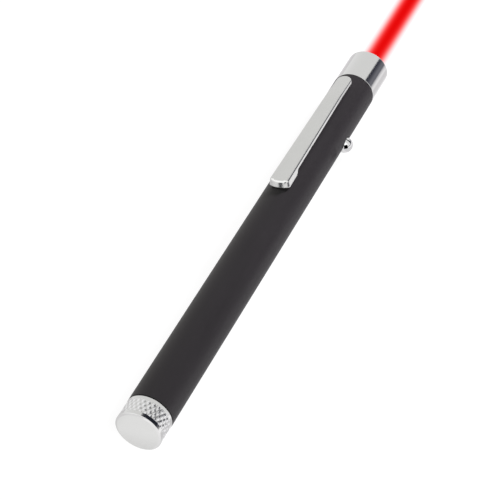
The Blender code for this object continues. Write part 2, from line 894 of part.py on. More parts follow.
def laser_diode():
    """The diode: a round stem with three pins, a can over it, and the can's window."""
    stem = turned(
        "diode_stem",
        [
            (0.0, stem_start),
            (DIODE_STEM_RADIUS, stem_start),
            (DIODE_STEM_RADIUS, stem_end),
            (0.0, stem_end),
        ],
        "brass",
        SMALL_STEPS,
    )
    pin_end = stem_start + PIN_BITE
    for number in range(3):
        angle = BUTTON_ANGLE + math.pi + (number - 1) * math.pi / 2
        pin = turned(
            f"diode_pin_{number + 1}",
            [
                (0.0, pin_end - PIN_LENGTH),
                (PIN_RADIUS, pin_end - PIN_LENGTH),
                (PIN_RADIUS, pin_end),
                (0.0, pin_end),
            ],
            None,
            PIN_STEPS,
            place=(PIN_CIRCLE * math.sin(angle), 0.0, PIN_CIRCLE * math.cos(angle)),
        )
        combine(stem, pin, "UNION")
    can_start = stem_end + PART_SEAT
    can_end = can_start + DIODE_CAN_HEIGHT
    inner = DIODE_CAN_RADIUS - DIODE_CAN_WALL
    window_seat = DIODE_WINDOW_RADIUS + PART_SEAT
    turned(
        "diode_can",
        [
            (inner, can_start),
            (DIODE_CAN_RADIUS, can_start),
            (DIODE_CAN_RADIUS, can_end),
            (window_seat, can_end),
            (window_seat, can_end - DIODE_CAN_WALL),
            (inner, can_end - DIODE_CAN_WALL),
        ],
        "brass",
        SMALL_STEPS,
    )
    turned(
        "diode_window",
        [
            (0.0, can_end - DIODE_WINDOW_THICKNESS),
            (DIODE_WINDOW_RADIUS, can_end - DIODE_WINDOW_THICKNESS),
            (DIODE_WINDOW_RADIUS, can_end),
            (0.0, can_end),
        ],
        "optical_glass",
        SMALL_STEPS,
    )


def lens_group():
    """The lens spring, the two-sided lens and the slotted nut that sets the focus."""
    half_wire = LENS_WIRE / 2
    coil(
        "lens_spring",
        coil_points(
            lens_spring_start + half_wire,
            LENS_SPRING_LENGTH - LENS_WIRE,
            LENS_SPRING_TURNS,
            lens_spring_radius,
            lens_spring_radius,
        ),
        LENS_WIRE,
        "spring_steel",
    )
    bulge = (LENS_THICKNESS - LENS_EDGE) / 2
    middle = lens_start + LENS_THICKNESS / 2
    shares = [i / LENS_RINGS for i in range(LENS_RINGS)]
    rear = [(nut_radius * s, middle - LENS_EDGE / 2 - bulge * (1 - s**2)) for s in shares]
    front = [(r, 2 * middle - a) for r, a in reversed(rear)]
    turned(
        "lens",
        [
            *rear,
            (nut_radius, middle - LENS_EDGE / 2),
            (nut_radius, middle + LENS_EDGE / 2),
            *front,
        ],
        "optical_glass",
    )
    nut = turned(
        "focus_nut",
        [
            (NUT_HOLE, nut_start),
            (nut_radius, nut_start),
            (nut_radius, nut_start + NUT_THICKNESS),
            (NUT_HOLE, nut_start + NUT_THICKNESS),
        ],
        "brass",
    )
    slot = block(
        "nut_slot",
        (2 * (nut_radius + CUT_OVERRUN), NUT_SLOT_DEPTH + CUT_OVERRUN, NUT_SLOT_WIDTH),
        (
            0.0,
            nut_start + NUT_THICKNESS - NUT_SLOT_DEPTH + (NUT_SLOT_DEPTH + CUT_OVERRUN) / 2,
            0.0,
        ),
        None,
    )
    combine(nut, slot, "DIFFERENCE")


def nose_cap():
    """The chrome nose: a rounded front ring with a spigot pressed into the barrel, and its black bezel."""
    r, e = nose_radius, NOSE_EDGE
    bore = neck_radius + FIT_GAP
    flange_start = housing_end + FIT_GAP
    seat = flange_start + BEZEL_FLANGE + PART_SEAT
    rounded = [(r - e + e * math.cos(a), nose_end - e + e * math.sin(a)) for a in QUARTER_TURN]
    turned(
        "nose_cap",
        [
            (bore, spigot_start),
            (insert_radius, spigot_start),
            (insert_radius, nose_start),
            (r - BARREL_EDGE, nose_start),
            (r, nose_start + BARREL_EDGE),
            *rounded,
            (NOSE_MOUTH, nose_end),
            (NOSE_HOLE, nose_end - NOSE_MOUTH_DEPTH),
            (NOSE_HOLE, seat),
            (bore, seat),
        ],
        "chrome",
        ROUND_STEPS,
    )
    front = nose_end - NOSE_MOUTH_DEPTH - FIT_GAP
    turned(
        "lens_bezel",
        [
            (BEZEL_HOLE, flange_start),
            (neck_radius, flange_start),
            (neck_radius, flange_start + BEZEL_FLANGE),
            (NOSE_HOLE - FIT_GAP, flange_start + BEZEL_FLANGE),
            (NOSE_HOLE - FIT_GAP, front),
            (BEZEL_MOUTH, front),
            (BEZEL_HOLE, flange_start + BEZEL_WALL),
        ],
        "black_plastic",
    )


def clip_outline():
    """The clip's outline from above, anticlockwise, with its outward directions and a share of flange depth.

    The tail end is square with round corners. The sides draw in towards the head, which is a half circle.
    """
    head = tab_place + TAB_THICKNESS / 2 + TAB_SETBACK
    tail = head - CLIP_LENGTH
    tail_half = CLIP_TAIL_WIDTH / 2
    head_half = CLIP_HEAD_WIDTH / 2
    corner = CLIP_TAIL_CORNER
    corner_y = tail + corner
    head_y = head - head_half
    points = []
    for i in range(CLIP_CORNER_STEPS):
        a = math.radians(-90) + math.radians(90) * i / CLIP_CORNER_STEPS
        outward = Vector((math.cos(a), math.sin(a)))
        points.append((Vector((tail_half - corner, corner_y)) + outward * corner, outward))
    for i in range(CLIP_SIDE_STATIONS):
        s = i / CLIP_SIDE_STATIONS
        side = Vector((tail_half + (head_half - tail_half) * s, corner_y + (head_y - corner_y) * s))
        points.append((side, Vector((1, 0))))
    for i in range(CLIP_ARC_STEPS + 1):
        a = math.radians(90) * i / CLIP_ARC_STEPS
        outward = Vector((math.cos(a), math.sin(a)))
        points.append((Vector((0, head_y)) + outward * head_half, outward))
    mirrored = [
        (Vector((-p.x, p.y)), Vector((-n.x, n.y))) for p, n in reversed(points[:-1])
    ]
    return points + mirrored, tail


def clip_depth(point, tail):
    """The flange's depth at a point of the outline.

    At the toe its lower edge follows the barrel, and a smooth ramp leads from there to the plain flange.
    """
    inner_reach = max(0.0, abs(point.x) - CLIP_SHEET)
    deep = clip_top - math.sqrt((barrel_radius + CLIP_TOE_GAP) ** 2 - inner_reach**2)
    share = (point.y - tail - CLIP_TOE_LENGTH) / CLIP_TOE_RAMP
    share = min(1.0, max(0.0, share))
    share = share * share * (3 - 2 * share)
    return deep + (CLIP_FLANGE - deep) * share


def pocket_clip():
    """The sprung clip: a sheet with turned-down flanges, whose tab is hooked under the barrel's wall."""
    outline, tail = clip_outline()
    pivot = Vector((0, tab_place + TAB_THICKNESS / 2, clip_pivot_height))
    layers = [(CLIP_ROUND * (1 - math.sin(a)), CLIP_ROUND * (1 - math.cos(a))) for a in QUARTER_TURN]
    bm = bmesh.new()
    rings = []
    for inset, drop in layers:
        rings.append(
            [
                bm.verts.new(Vector((*(p - n * inset), clip_top - drop)) - pivot)
                for p, n in outline
            ]
        )
    rings.append(
        [
            bm.verts.new(Vector((*p, clip_top - clip_depth(p, tail))) - pivot)
            for p, n in outline
        ]
    )
    bm.faces.new(rings[0])
    for ring_a, ring_b in zip(rings, rings[1:]):
        for k in range(len(outline)):
            m = (k + 1) % len(outline)
            bm.faces.new((ring_a[k], ring_b[k], ring_b[m], ring_a[m]))
    mesh = bpy.data.meshes.new("clip")
    bm.to_mesh(mesh)
    bm.free()
    mesh.shade_smooth()
    mesh.set_sharp_from_angle(angle=SHARP_ANGLE)
    clip = add_object("clip", mesh, "chrome", place=pivot)
    sheet = clip.modifiers.new("sheet", "SOLIDIFY")
    sheet.thickness = CLIP_SHEET
    sheet.offset = -1
    sheet.use_even_offset = True
    middle = CLIP_SHEET / 2
    tab_top = clip_top - middle
    tab = block(
        "clip_tab",
        (TAB_WIDTH, TAB_THICKNESS, tab_top - hook_bottom),
        (0.0, pivot.y, (tab_top + hook_bottom) / 2),
        None,
    )
    combine(clip, tab, "UNION")
    hook = block(
        "clip_hook",
        (TAB_WIDTH, HOOK_REACH + TAB_THICKNESS / 2, HOOK_THICKNESS),
        (0.0, pivot.y - (HOOK_REACH + TAB_THICKNESS / 2) / 2, hook_bottom + HOOK_THICKNESS / 2),
        None,
    )
    combine(clip, hook, "UNION")


for leftover in list(bpy.data.objects):
    bpy.data.objects.remove(leftover)

button_axis = frame_empty("board_frame", (0.0, 0.0, 0.0), BUTTON_ANGLE)
button_frame = frame_empty("button_frame", (0.0, button_place, 0.0), 0.0, button_axis)

barrel()
tail_cap()
dry_cell("rear_cell", rear_cell_start)
dry_cell("front_cell", front_cell_start)
front_contact()
circuit_board()
push_button()
laser_housing()
laser_diode()
lens_group()
nose_cap()
pocket_clip()
print(f"barrel {barrel_start / MM:.2f} to {barrel_end / MM:.2f} mm, nose end {nose_end / MM:.2f} mm")
print(f"button at {button_place / MM:.2f} mm, clip's tab at {tab_place / MM:.2f} mm")
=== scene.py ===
"""Looks of a pen-shaped laser pointer: its surfaces, its finishes and the studio it is shown in.

The file is laid out as an add-on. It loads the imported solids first, and its main function then
calls one operator for each piece or group of like pieces, and one for the stage.
"""

import json
import math

import bmesh
import bpy
import numpy as np
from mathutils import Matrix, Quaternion, Vector


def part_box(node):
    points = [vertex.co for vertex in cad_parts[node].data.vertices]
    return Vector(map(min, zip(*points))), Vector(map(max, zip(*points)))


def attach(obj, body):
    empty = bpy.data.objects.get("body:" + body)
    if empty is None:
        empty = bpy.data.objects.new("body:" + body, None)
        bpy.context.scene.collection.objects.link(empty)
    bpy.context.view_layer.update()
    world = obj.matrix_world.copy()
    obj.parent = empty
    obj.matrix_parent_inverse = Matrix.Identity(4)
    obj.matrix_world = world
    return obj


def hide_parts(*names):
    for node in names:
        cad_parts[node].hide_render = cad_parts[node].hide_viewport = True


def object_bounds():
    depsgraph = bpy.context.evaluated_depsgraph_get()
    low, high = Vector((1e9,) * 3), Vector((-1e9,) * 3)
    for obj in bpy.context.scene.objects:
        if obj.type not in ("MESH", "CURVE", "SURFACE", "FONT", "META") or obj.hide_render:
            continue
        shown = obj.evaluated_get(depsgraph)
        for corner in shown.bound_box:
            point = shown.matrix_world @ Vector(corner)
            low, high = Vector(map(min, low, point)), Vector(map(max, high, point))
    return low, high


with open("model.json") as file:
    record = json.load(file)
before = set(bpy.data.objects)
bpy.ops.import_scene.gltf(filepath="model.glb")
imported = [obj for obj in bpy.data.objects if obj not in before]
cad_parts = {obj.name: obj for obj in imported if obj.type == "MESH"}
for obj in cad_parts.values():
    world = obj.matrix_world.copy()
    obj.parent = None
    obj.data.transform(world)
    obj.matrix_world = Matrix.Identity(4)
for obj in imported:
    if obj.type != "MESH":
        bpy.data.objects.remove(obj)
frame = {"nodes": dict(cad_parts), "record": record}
cad_bounds = [list(corner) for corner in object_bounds()]

bl_info = {
    "name": "Pen Laser Pointer",
    "version": (1, 0, 0),
    "blender": (4, 5, 0),
    "location": "3D View > Sidebar > Laser Pointer",
    "description": "Surfaces, finishes and studio of a pen-shaped laser pointer",
    "category": "Add Mesh",
}

MM = 0.001
CAD_SIDES = 48
BEZEL_SIDES = 24
MERGE_DISTANCE = 0.0002 * MM
SHARP_ANGLE = math.radians(40)
ARC_STEPS = 6
QUARTER_TURN = math.pi / 2
FULL_TURN = 2 * math.pi
WHITE = (1.0, 1.0, 1.0)
BUTTON_CLOCK = math.radians(120)
KNURL_PHASE = math.radians(2.2)
THREAD_SLOPE = math.tan(math.radians(30))
THREAD_FADE = 0.12
THREAD_TURNS = 4.55
GROOVE_TURNS = 9.0
GROOVE_LEAD_TURNS = 3
GROOVE_LENGTH = 6.25 * MM
MOUTH_LENGTH = 6.3 * MM


# Places read from the frame


def ends_of(node):
    """Where a node begins and ends along the pen."""
    low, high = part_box(node)
    return low.y, high.y


def round_radius(node, sides=CAD_SIDES):
    """The radius of the round piece that a many-sided solid stands for."""
    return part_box(node)[1].z / math.cos(math.pi / sides)


# Surfaces


def new_object(name, data):
    """A new object of the scene, at the origin."""
    made = bpy.data.objects.new(name, data)
    bpy.context.scene.collection.objects.link(made)
    return made


def new_mesh(name, points, faces, material, closed=True):
    """A mesh of four-sided faces. On a closed one, doubles are merged and faces point outward."""
    mesh = bpy.data.meshes.new(name)
    mesh.from_pydata(points.reshape(-1, 3).tolist(), [], faces.reshape(-1, 4).tolist())
    mesh.materials.append(material)
    if closed:
        bm = bmesh.new()
        bm.from_mesh(mesh)
        bmesh.ops.remove_doubles(bm, verts=bm.verts, dist=MERGE_DISTANCE)
        bmesh.ops.dissolve_degenerate(bm, edges=bm.edges, dist=MERGE_DISTANCE / 2)
        bmesh.ops.recalc_face_normals(bm, faces=bm.faces)
        if bm.calc_volume(signed=True) < 0:
            bmesh.ops.reverse_faces(bm, faces=bm.faces)
        bm.to_mesh(mesh)
        bm.free()
    return mesh


def add_piece(name, patches, body, slot, replaced, finish_name=None):
    """One piece from patches of (points, faces), on its body, in the stead of the solids it replaces."""
    firsts = np.cumsum([0] + [points.size // 3 for points, faces in patches])
    points = np.concatenate([points.reshape(-1, 3) for points, faces in patches])
    faces = np.concatenate([faces.reshape(-1, 4) + first for (_, faces), first in zip(patches, firsts)])
    mesh = new_mesh(name, points, faces, finish(finish_name or slot))
    mesh.shade_smooth()
    mesh.set_sharp_from_angle(angle=SHARP_ANGLE)
    piece = new_object(name, mesh)
    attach(piece, body)
    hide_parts(*replaced)


def grid_faces(rows, columns, wrap_rows=False):
    """The faces of a grid of points. The last column joins the first, and the last row does on request."""
    r, c = np.meshgrid(np.arange(rows if wrap_rows else rows - 1), np.arange(columns), indexing="ij")
    below, beside = (r + 1) % rows, (c + 1) % columns
    corners = (r * columns + c, r * columns + beside, below * columns + beside, below * columns + c)
    return np.stack(corners, axis=-1)


def outline(corners, steps=ARC_STEPS):
    """Points of an outline whose corners are rounded by true arcs.

    A corner is (radius, along, cut). Its arc runs from A, a cut before the corner P, to B, a cut after it:
    (A(1-t)^2 + 2wPt(1-t) + Bt^2) / ((1-t)^2 + 2wt(1-t) + t^2), where w is the cosine of half the turn.
    One point more on each side of the arc keeps the flat beside it flat.
    """
    places = np.array([c[:2] for c in corners], dtype=float)
    share = np.linspace(0.0, 1.0, steps + 1)[:, None]
    made = []
    for i, place in enumerate(places):
        if len(corners[i]) == 2:
            made.append(place[None, :])
            continue
        cut = corners[i][2]
        before, after = places[i - 1] - place, places[(i + 1) % len(places)] - place
        before, after = before / np.linalg.norm(before), after / np.linalg.norm(after)
        weight = math.sqrt(max(0.0, (1.0 - float(before @ after)) / 2.0))
        a, b = place + before * cut, place + after * cut
        top = a * (1 - share) ** 2 + 2 * weight * place * share * (1 - share) + b * share**2
        bottom = (1 - share) ** 2 + 2 * weight * share * (1 - share) + share**2
        made += [(a + before * cut * 0.3)[None, :], top / bottom, (b + after * cut * 0.3)[None, :]]
    return np.concatenate(made)


def around(columns):
    """Clock angles about the pen, from +Z towards +X."""
    return np.arange(columns) * (FULL_TURN / columns)


def circle_points(angles):
    """Points of the unit circle: (cos a, sin a)."""
    return np.stack((np.cos(angles), np.sin(angles)), axis=1)


def on_pen(radius, along, clock):
    """Points at a radius and a clock angle about the pen: (r sin c, along, r cos c)."""
    radius, along, clock = np.broadcast_arrays(radius, along, clock)
    return np.stack((radius * np.sin(clock), along, radius * np.cos(clock)), axis=-1)


def turned_piece(name, corners, slot, replaced, columns=96):
    """A piece turned from an outline of (radius, along) points: each one is carried round the pen."""
    points = outline(corners)
    grid = on_pen(points[:, :1], points[:, 1:], around(columns)[None, :])
    add_piece(name, [(grid, grid_faces(len(points), columns, wrap_rows=True))], "pen", slot, replaced)


def wire_patch(centres, wire_radius, sides=12, cap_steps=3):
    """A round wire along a path: the ring (radial cos u + binormal sin u) times the wire's radius.

    Its ends are closed by half balls, whose rings shrink as a cosine while they move out as a sine.
    """
    tangent = np.gradient(centres, axis=0)
    tangent /= np.linalg.norm(tangent, axis=1, keepdims=True)
    radial = centres * np.array((1.0, 0.0, 1.0))
    radial -= tangent * np.sum(radial * tangent, axis=1, keepdims=True)
    radial /= np.linalg.norm(radial, axis=1, keepdims=True)
    binormal = np.cross(tangent, radial)
    lean = np.linspace(QUARTER_TURN, 0.0, cap_steps + 1)[:-1]
    shrinks = np.concatenate((np.cos(lean), np.ones(len(centres)), np.cos(lean[::-1])))
    head = centres[0] - wire_radius * np.sin(lean)[:, None] * tangent[0]
    tail = centres[-1] + wire_radius * np.sin(lean[::-1])[:, None] * tangent[-1]
    path = np.concatenate((head, centres, tail))
    row = np.clip(np.arange(len(path)) - cap_steps, 0, len(centres) - 1)
    u = around(sides)[None, :, None]
    ring = radial[row][:, None] * np.cos(u) + binormal[row][:, None] * np.sin(u)
    return path[:, None] + ring * (wire_radius * shrinks)[:, None, None], grid_faces(len(path), sides)


def smooth_step(value, low, high):
    """Rises from 0 to 1 between low and high as 3t^2 - 2t^3."""
    t = np.clip((value - low) / (high - low), 0.0, 1.0)
    return t * t * (3 - 2 * t)


# Shader maths


class Value:
    """A number that varies over a surface. Arithmetic on it adds Math nodes to its finish."""

    def __init__(self, recipe, socket):
        self.recipe, self.socket = recipe, socket

    def __add__(self, other):
        return self.recipe.maths("ADD", self, other)

    def __sub__(self, other):
        return self.recipe.maths("SUBTRACT", self, other)

    def __rsub__(self, other):
        return self.recipe.maths("SUBTRACT", other, self)

    def __mul__(self, other):
        return self.recipe.maths("MULTIPLY", self, other)

    def __truediv__(self, other):
        return self.recipe.maths("DIVIDE", self, other)

    def __abs__(self):
        return self.recipe.maths("ABSOLUTE", self)

    __radd__ = __add__
    __rmul__ = __mul__


class Recipe:
    """The node tree of a material or a world, filled from Python."""

    def __init__(self, owner):
        owner.use_nodes = True
        self.owner, self.tree = owner, owner.node_tree
        self.tree.nodes.clear()

    def node(self, kind, sockets=None, **settings):
        """Any node: its settings are set first, and then each input gets its number, colour or link."""
        made = self.tree.nodes.new(kind)
        for key, value in settings.items():
            setattr(made, key, value)
        for key, value in (sockets or {}).items():
            value = value.socket if isinstance(value, Value) else value
            if isinstance(value, bpy.types.NodeSocket):
                self.tree.links.new(value, made.inputs[key])
            else:
                is_colour = made.inputs[key].type == "RGBA"
                made.inputs[key].default_value = (*value, 1.0) if is_colour else value
        return made

    def maths(self, operation, *values):
        """One Math node."""
        made = self.node("ShaderNodeMath", dict(enumerate(values)), operation=operation)
        return Value(self, made.outputs[0])

    def within(self, value, low, high):
        """The value, held between two limits."""
        return self.maths("MINIMUM", self.maths("MAXIMUM", value, low), high)

    def step(self, value, low, high):
        """Rises smoothly from 0 to 1 while the value goes from low to high."""
        sockets = {"Value": value, "From Min": low, "From Max": high}
        made = self.node("ShaderNodeMapRange", sockets, interpolation_type="SMOOTHSTEP")
        return Value(self, made.outputs["Result"])

    def fall(self, value, low, high):
        """Falls smoothly from 1 to 0 while the value goes from low to high."""
        return 1.0 - self.step(value, low, high)

    def place(self, stretch=(1.0, 1.0, 1.0), turn=(0.0, 0.0, 0.0)):
        """The place on the piece in millimetres, turned and then stretched."""
        where = self.node("ShaderNodeTexCoord").outputs["Object"]
        turned = self.node("ShaderNodeMapping", {"Vector": where, "Rotation": turn}, vector_type="POINT")
        sockets = {0: turned.outputs[0], 1: tuple(s / MM for s in stretch)}
        return self.node("ShaderNodeVectorMath", sockets, operation="MULTIPLY").outputs[0]

    def parts(self, vector):
        """The three numbers of a vector."""
        made = self.node("ShaderNodeSeparateXYZ", {0: vector})
        return [Value(self, socket) for socket in made.outputs]

    def pen_axes(self):
        """The distance along the pen and that from its axis, in millimetres, and the clock angle."""
        x, y, z = self.parts(self.place())
        return y, self.maths("SQRT", x * x + z * z), self.maths("ARCTAN2", x, z)

    def vector(self, *numbers):
        """A vector from up to three numbers."""
        return self.node("ShaderNodeCombineXYZ", dict(enumerate(numbers))).outputs[0]

    def noise(self, vector, scale, detail=2.0, roughness=0.5):
        """Smooth noise between 0 and 1."""
        sockets = {"Vector": vector, "Scale": scale, "Detail": detail, "Roughness": roughness}
        return Value(self, self.node("ShaderNodeTexNoise", sockets).outputs[0])

    def mix(self, factor, first, second):
        """A colour between two colours."""
        return self.node("ShaderNodeMix", {0: factor, 6: first, 7: second}, data_type="RGBA").outputs[2]

    def glow(self, colour):
        """An even light of a colour."""
        return self.node("ShaderNodeEmission", {"Color": colour, "Strength": 1.0})

    def surface(self, shader):
        """Ends the material with a shader."""
        self.node("ShaderNodeOutputMaterial", {"Surface": shader.outputs[0]})
        return self.owner

    def dressed(self, colour, roughness, height, depth, others=None):
        """Ends the material with a Principled shader, whose relief is a height of 0 to 1 times a depth."""
        bump = self.node("ShaderNodeBump", {"Height": height, "Distance": depth, "Strength": 1.0})
        sockets = {"Base Color": colour, "Roughness": roughness, "Normal": bump.outputs[0], **(others or {})}
        return self.surface(self.node("ShaderNodeBsdfPrincipled", sockets))


METAL = {"Metallic": 1.0}


def new_finish(name):
    """The recipe of a new material."""
    return Recipe(bpy.data.materials.new(name))


def tinted(colour, factor):
    """A colour made darker or lighter."""
    return tuple(min(1.0, c * factor) for c in colour)


def lacquer_finish(colours):
    """Black lacquer: fine orange peel, faint cloudiness, and a softer gloss where hands rub it."""
    r = new_finish("black_lacquer")
    where = r.place()
    peel, dust = r.noise(where, 2.6), r.noise(where, 9.0, 3.0, 0.7)
    cloud = r.noise(r.place((1.0, 0.12, 1.0)), 0.35)
    shade = r.mix(cloud, tinted(colours.lacquer, 0.85), tinted(colours.lacquer, 1.15))
    rough = cloud * 0.08 + 0.36 + dust * 0.08
    gloss = {"Specular IOR Level": colours.lacquer_gloss}
    return r.dressed(shade, rough, peel * 0.75 + dust * 0.25, 0.004 * MM, gloss)


def polished_chrome(name, colour, roughness, knurl=None):
    """Bright chrome: fine turned polishing lines and faint smears.

    A knurl, given as its start, end, outer radius and depth, is rougher, with a painted highlight on its
    studs and painted shade in its pits.
    """
    r = new_finish(name)
    y, from_axis, clock = r.pen_axes()
    lines = r.noise(r.vector(y, from_axis, clock * 0.4), 14.0, 3.0, 0.7)
    smear = r.noise(r.place((1.0, 0.5, 1.0)), 0.45, 3.0, 0.6)
    shade = r.mix(smear, tinted(colour, 0.97), tuple(colour))
    rough = smear * 0.04 + roughness + lines * 0.02
    if knurl:
        first, last, radius, depth = (value / MM for value in knurl)
        on_knurl = r.step(y, first - 0.05, first + 0.1) * r.fall(y, last - 0.1, last + 0.05)
        # Where the studs get a painted highlight, and where the pits get painted shade.
        stud_painted_highlight = r.step(from_axis, radius - depth * 0.75, radius - depth * 0.15)
        pit_painted_shade = r.fall(from_axis, radius - depth, radius - depth * 0.7) * on_knurl
        rough = rough + on_knurl * 0.20
        # Painted highlight on the studs, then painted shade in the pits.
        shade = r.mix(on_knurl * stud_painted_highlight, shade, (0.90, 0.90, 0.91))
        shade = r.mix(pit_painted_shade * 0.25, shade, (0.10, 0.10, 0.105))
    return r.dressed(shade, rough, lines, 0.0006 * MM, METAL)


def brushed_metal(name, colour, roughness, stretch, depth):
    """Plated or drawn metal with fine lines along one direction and a faint cloudiness."""
    r = new_finish(name)
    lines, cloud = r.noise(r.place(stretch), 1.0, 4.0, 0.65), r.noise(r.place(), 0.3)
    shade = r.mix(cloud, tinted(colour, 0.94), tuple(colour))
    return r.dressed(shade, lines * 0.06 + roughness + cloud * 0.03, lines, depth, METAL)


def turned_brass(colours):
    """Turned brass: rings left by the tool, and faint brown tarnish."""
    r = new_finish("brass")
    y, from_axis = r.pen_axes()[:2]
    rings = r.noise(r.vector(y, from_axis), 9.0, 2.0, 0.6)
    tarnish = r.step(r.noise(r.place(), 0.6, 4.0, 0.6), 0.45, 0.75)
    brown = tuple(c * s for c, s in zip(colours.brass, (0.7, 0.6, 0.5)))
    shade = r.mix(tarnish * 0.5, colours.brass, brown)
    return r.dressed(shade, rings * 0.08 + 0.22 + tarnish * 0.12, rings, 0.003 * MM, METAL)


def moulded_plastic(name, colour, roughness, grain):
    """Moulded plastic: an even fine grain, and a slightly uneven gloss."""
    r = new_finish(name)
    grit, cloud = r.noise(r.place(), 11.0, 3.0, 0.6), r.noise(r.place(), 0.8)
    shade = r.mix(cloud, tinted(colour, 0.88), tinted(colour, 1.08))
    return r.dressed(shade, cloud * 0.08 + roughness, grit, grain, {"Specular IOR Level": 0.4})


def board_finish(colours):
    """The circuit board: green mask over thin copper tracks, tinned dots, and a fine weave."""
    r = new_finish("board_green")
    x, y, z = r.parts(r.place(turn=(0.0, -BUTTON_CLOCK, 0.0)))
    weave = r.noise(r.vector(x * 6.0, y * 6.0), 1.0)
    bend = r.step(r.maths("FRACT", y * 0.11), 0.45, 0.55) * 0.5
    track = r.fall(abs(r.maths("FRACT", x * 0.9 + 0.5 + bend) - 0.5), 0.10, 0.14)
    dot_x, dot_y = r.maths("FRACT", x * 0.45 + 0.5) - 0.5, r.maths("FRACT", y * 0.31) - 0.5
    dot = r.fall(r.maths("SQRT", dot_x * dot_x * 4.9 + dot_y * dot_y * 10.4), 0.28, 0.33)
    shade = r.mix(dot, r.mix(track, colours.board, tinted(colours.board, 1.9)), colours.tin)
    rough = weave * 0.12 + 0.34 - dot * 0.08
    return r.dressed(shade, rough, track * 0.6 + weave * 0.2, 0.02 * MM, {"Metallic": dot})


def chip_finish(node, body_colour, half_body, colours):
    """A small block for a board: its ceramic body between two tinned ends."""
    r = new_finish(f"{node}_body")
    low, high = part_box(node)
    centre = (low + high) / 2 / MM
    middle = centre.x * math.cos(BUTTON_CLOCK) - centre.z * math.sin(BUTTON_CLOCK)
    x, y, z = r.parts(r.place(turn=(0.0, -BUTTON_CLOCK, 0.0)))
    ends = r.step(abs(x - middle), half_body - 0.03, half_body + 0.03)
    grit = r.noise(r.place(), 7.0, 3.0)
    shade = r.mix(ends, r.mix(grit, tinted(body_colour, 0.85), body_colour), colours.tin)
    return r.dressed(shade, 0.5 - ends * 0.2 + grit * 0.06, grit, 0.006 * MM, {"Metallic": ends})


def glass_finish(colours):
    """Clear polished glass with the faint tint of its coating."""
    r = new_finish("optical_glass")
    smear = r.noise(r.place(), 0.8, 3.0)
    shade = r.mix(smear, colours.glass, tinted(colours.glass, 1.03))
    sockets = {"Base Color": shade, "Roughness": smear * 0.03 + 0.01, "Transmission Weight": 1.0, "IOR": 1.52}
    return r.surface(r.node("ShaderNodeBsdfPrincipled", sockets))


def jacket_finish(colours):
    """A cell's film: blue, with a pale band near its front end, and bare steel past the film's edges."""
    r = new_finish("cell_jacket")
    y, from_axis = r.pen_axes()[:2]
    wrinkle = r.noise(r.place((1.0, 0.3, 1.0)), 1.3, 3.0)
    bare = r.fall(from_axis, 4.7, 4.76)
    band = 0.0
    for cell in ("rear_cell_can", "front_cell_can"):
        first, last = (end / MM for end in ends_of(cell))
        bare = bare + r.fall(abs(y - first), 0.55, 0.62) + r.fall(abs(y - last), 0.75, 0.82)
        band = band + r.fall(abs(y - (last - 6.0)), 2.4, 2.5)
    bare = r.maths("MINIMUM", bare, 1.0)
    shade = r.mix(bare, r.mix(band, colours.cell, colours.cell_band), colours.tin)
    return r.dressed(shade, wrinkle * 0.08 + 0.30, wrinkle, 0.01 * MM, {"Metallic": bare})


FINISHES = {}
CHIPS = {
    "resistor_1": ((0.05, 0.05, 0.055), 0.68),
    "resistor_2": ((0.05, 0.05, 0.055), 0.68),
    "capacitor": ((0.42, 0.31, 0.19), 0.85),
}


def make_finishes():
    """Makes every finish of the pen, by the name of its material slot or its piece."""
    c, sizes = bpy.context.scene.pointer_colours, bpy.context.scene.pointer_sizes
    knurl = (sizes.knurl_start, sizes.knurl_end, round_radius("tail_cap"), sizes.knurl_depth)
    return {
        "black_lacquer": lacquer_finish(c),
        "chrome_plate": polished_chrome("chrome_plate", c.chrome, 0.05),
        "cap_chrome": polished_chrome("cap_chrome", c.chrome, 0.06, knurl),
        "ball_chrome": polished_chrome("ball_chrome", c.ball, 0.04),
        "clip_chrome": brushed_metal("clip_chrome", c.clip, 0.16, (9.0, 0.25, 9.0), 0.0006 * MM),
        "brass": turned_brass(c),
        "spring_steel": brushed_metal("spring_steel", c.spring, 0.22, (4.0, 4.0, 4.0), 0.001 * MM),
        "black_plastic": moulded_plastic("black_plastic", c.plastic, 0.42, 0.004 * MM),
        "nylon": moulded_plastic("nylon", c.nylon, 0.46, 0.003 * MM),
        "board_green": board_finish(c),
        "tin_plate": brushed_metal("tin_plate", c.tin, 0.28, (1.0, 7.0, 1.0), 0.001 * MM),
        "optical_glass": glass_finish(c),
        "cell_jacket": jacket_finish(c),
        **{node: chip_finish(node, *look, c) for node, look in CHIPS.items()},
    }


def finish(name):
    """A finish by its name, made with all the others on first use."""
    if not FINISHES:
        FINISHES.update(make_finishes())
    return FINISHES[name]


# Settings


def number(name, description, default, **more):
    """A setting that is a number."""
    return bpy.props.FloatProperty(name=name, description=description, default=default, **more)


def length(name, description, mm):
    """A length setting, whose default is given in millimetres."""
    return number(name, description, mm * MM, min=0.0, precision=5, unit="LENGTH", subtype="DISTANCE")


def angle(name, description, degrees):
    """An angle setting, whose default is given in degrees."""
    return number(name, description, math.radians(degrees), unit="ROTATION", subtype="ANGLE")


def colour(name, description, *default):
    """A colour setting."""
    return bpy.props.FloatVectorProperty(
        name=name, description=description, default=default, size=3, min=0.0, max=1.0, subtype="COLOR"
    )


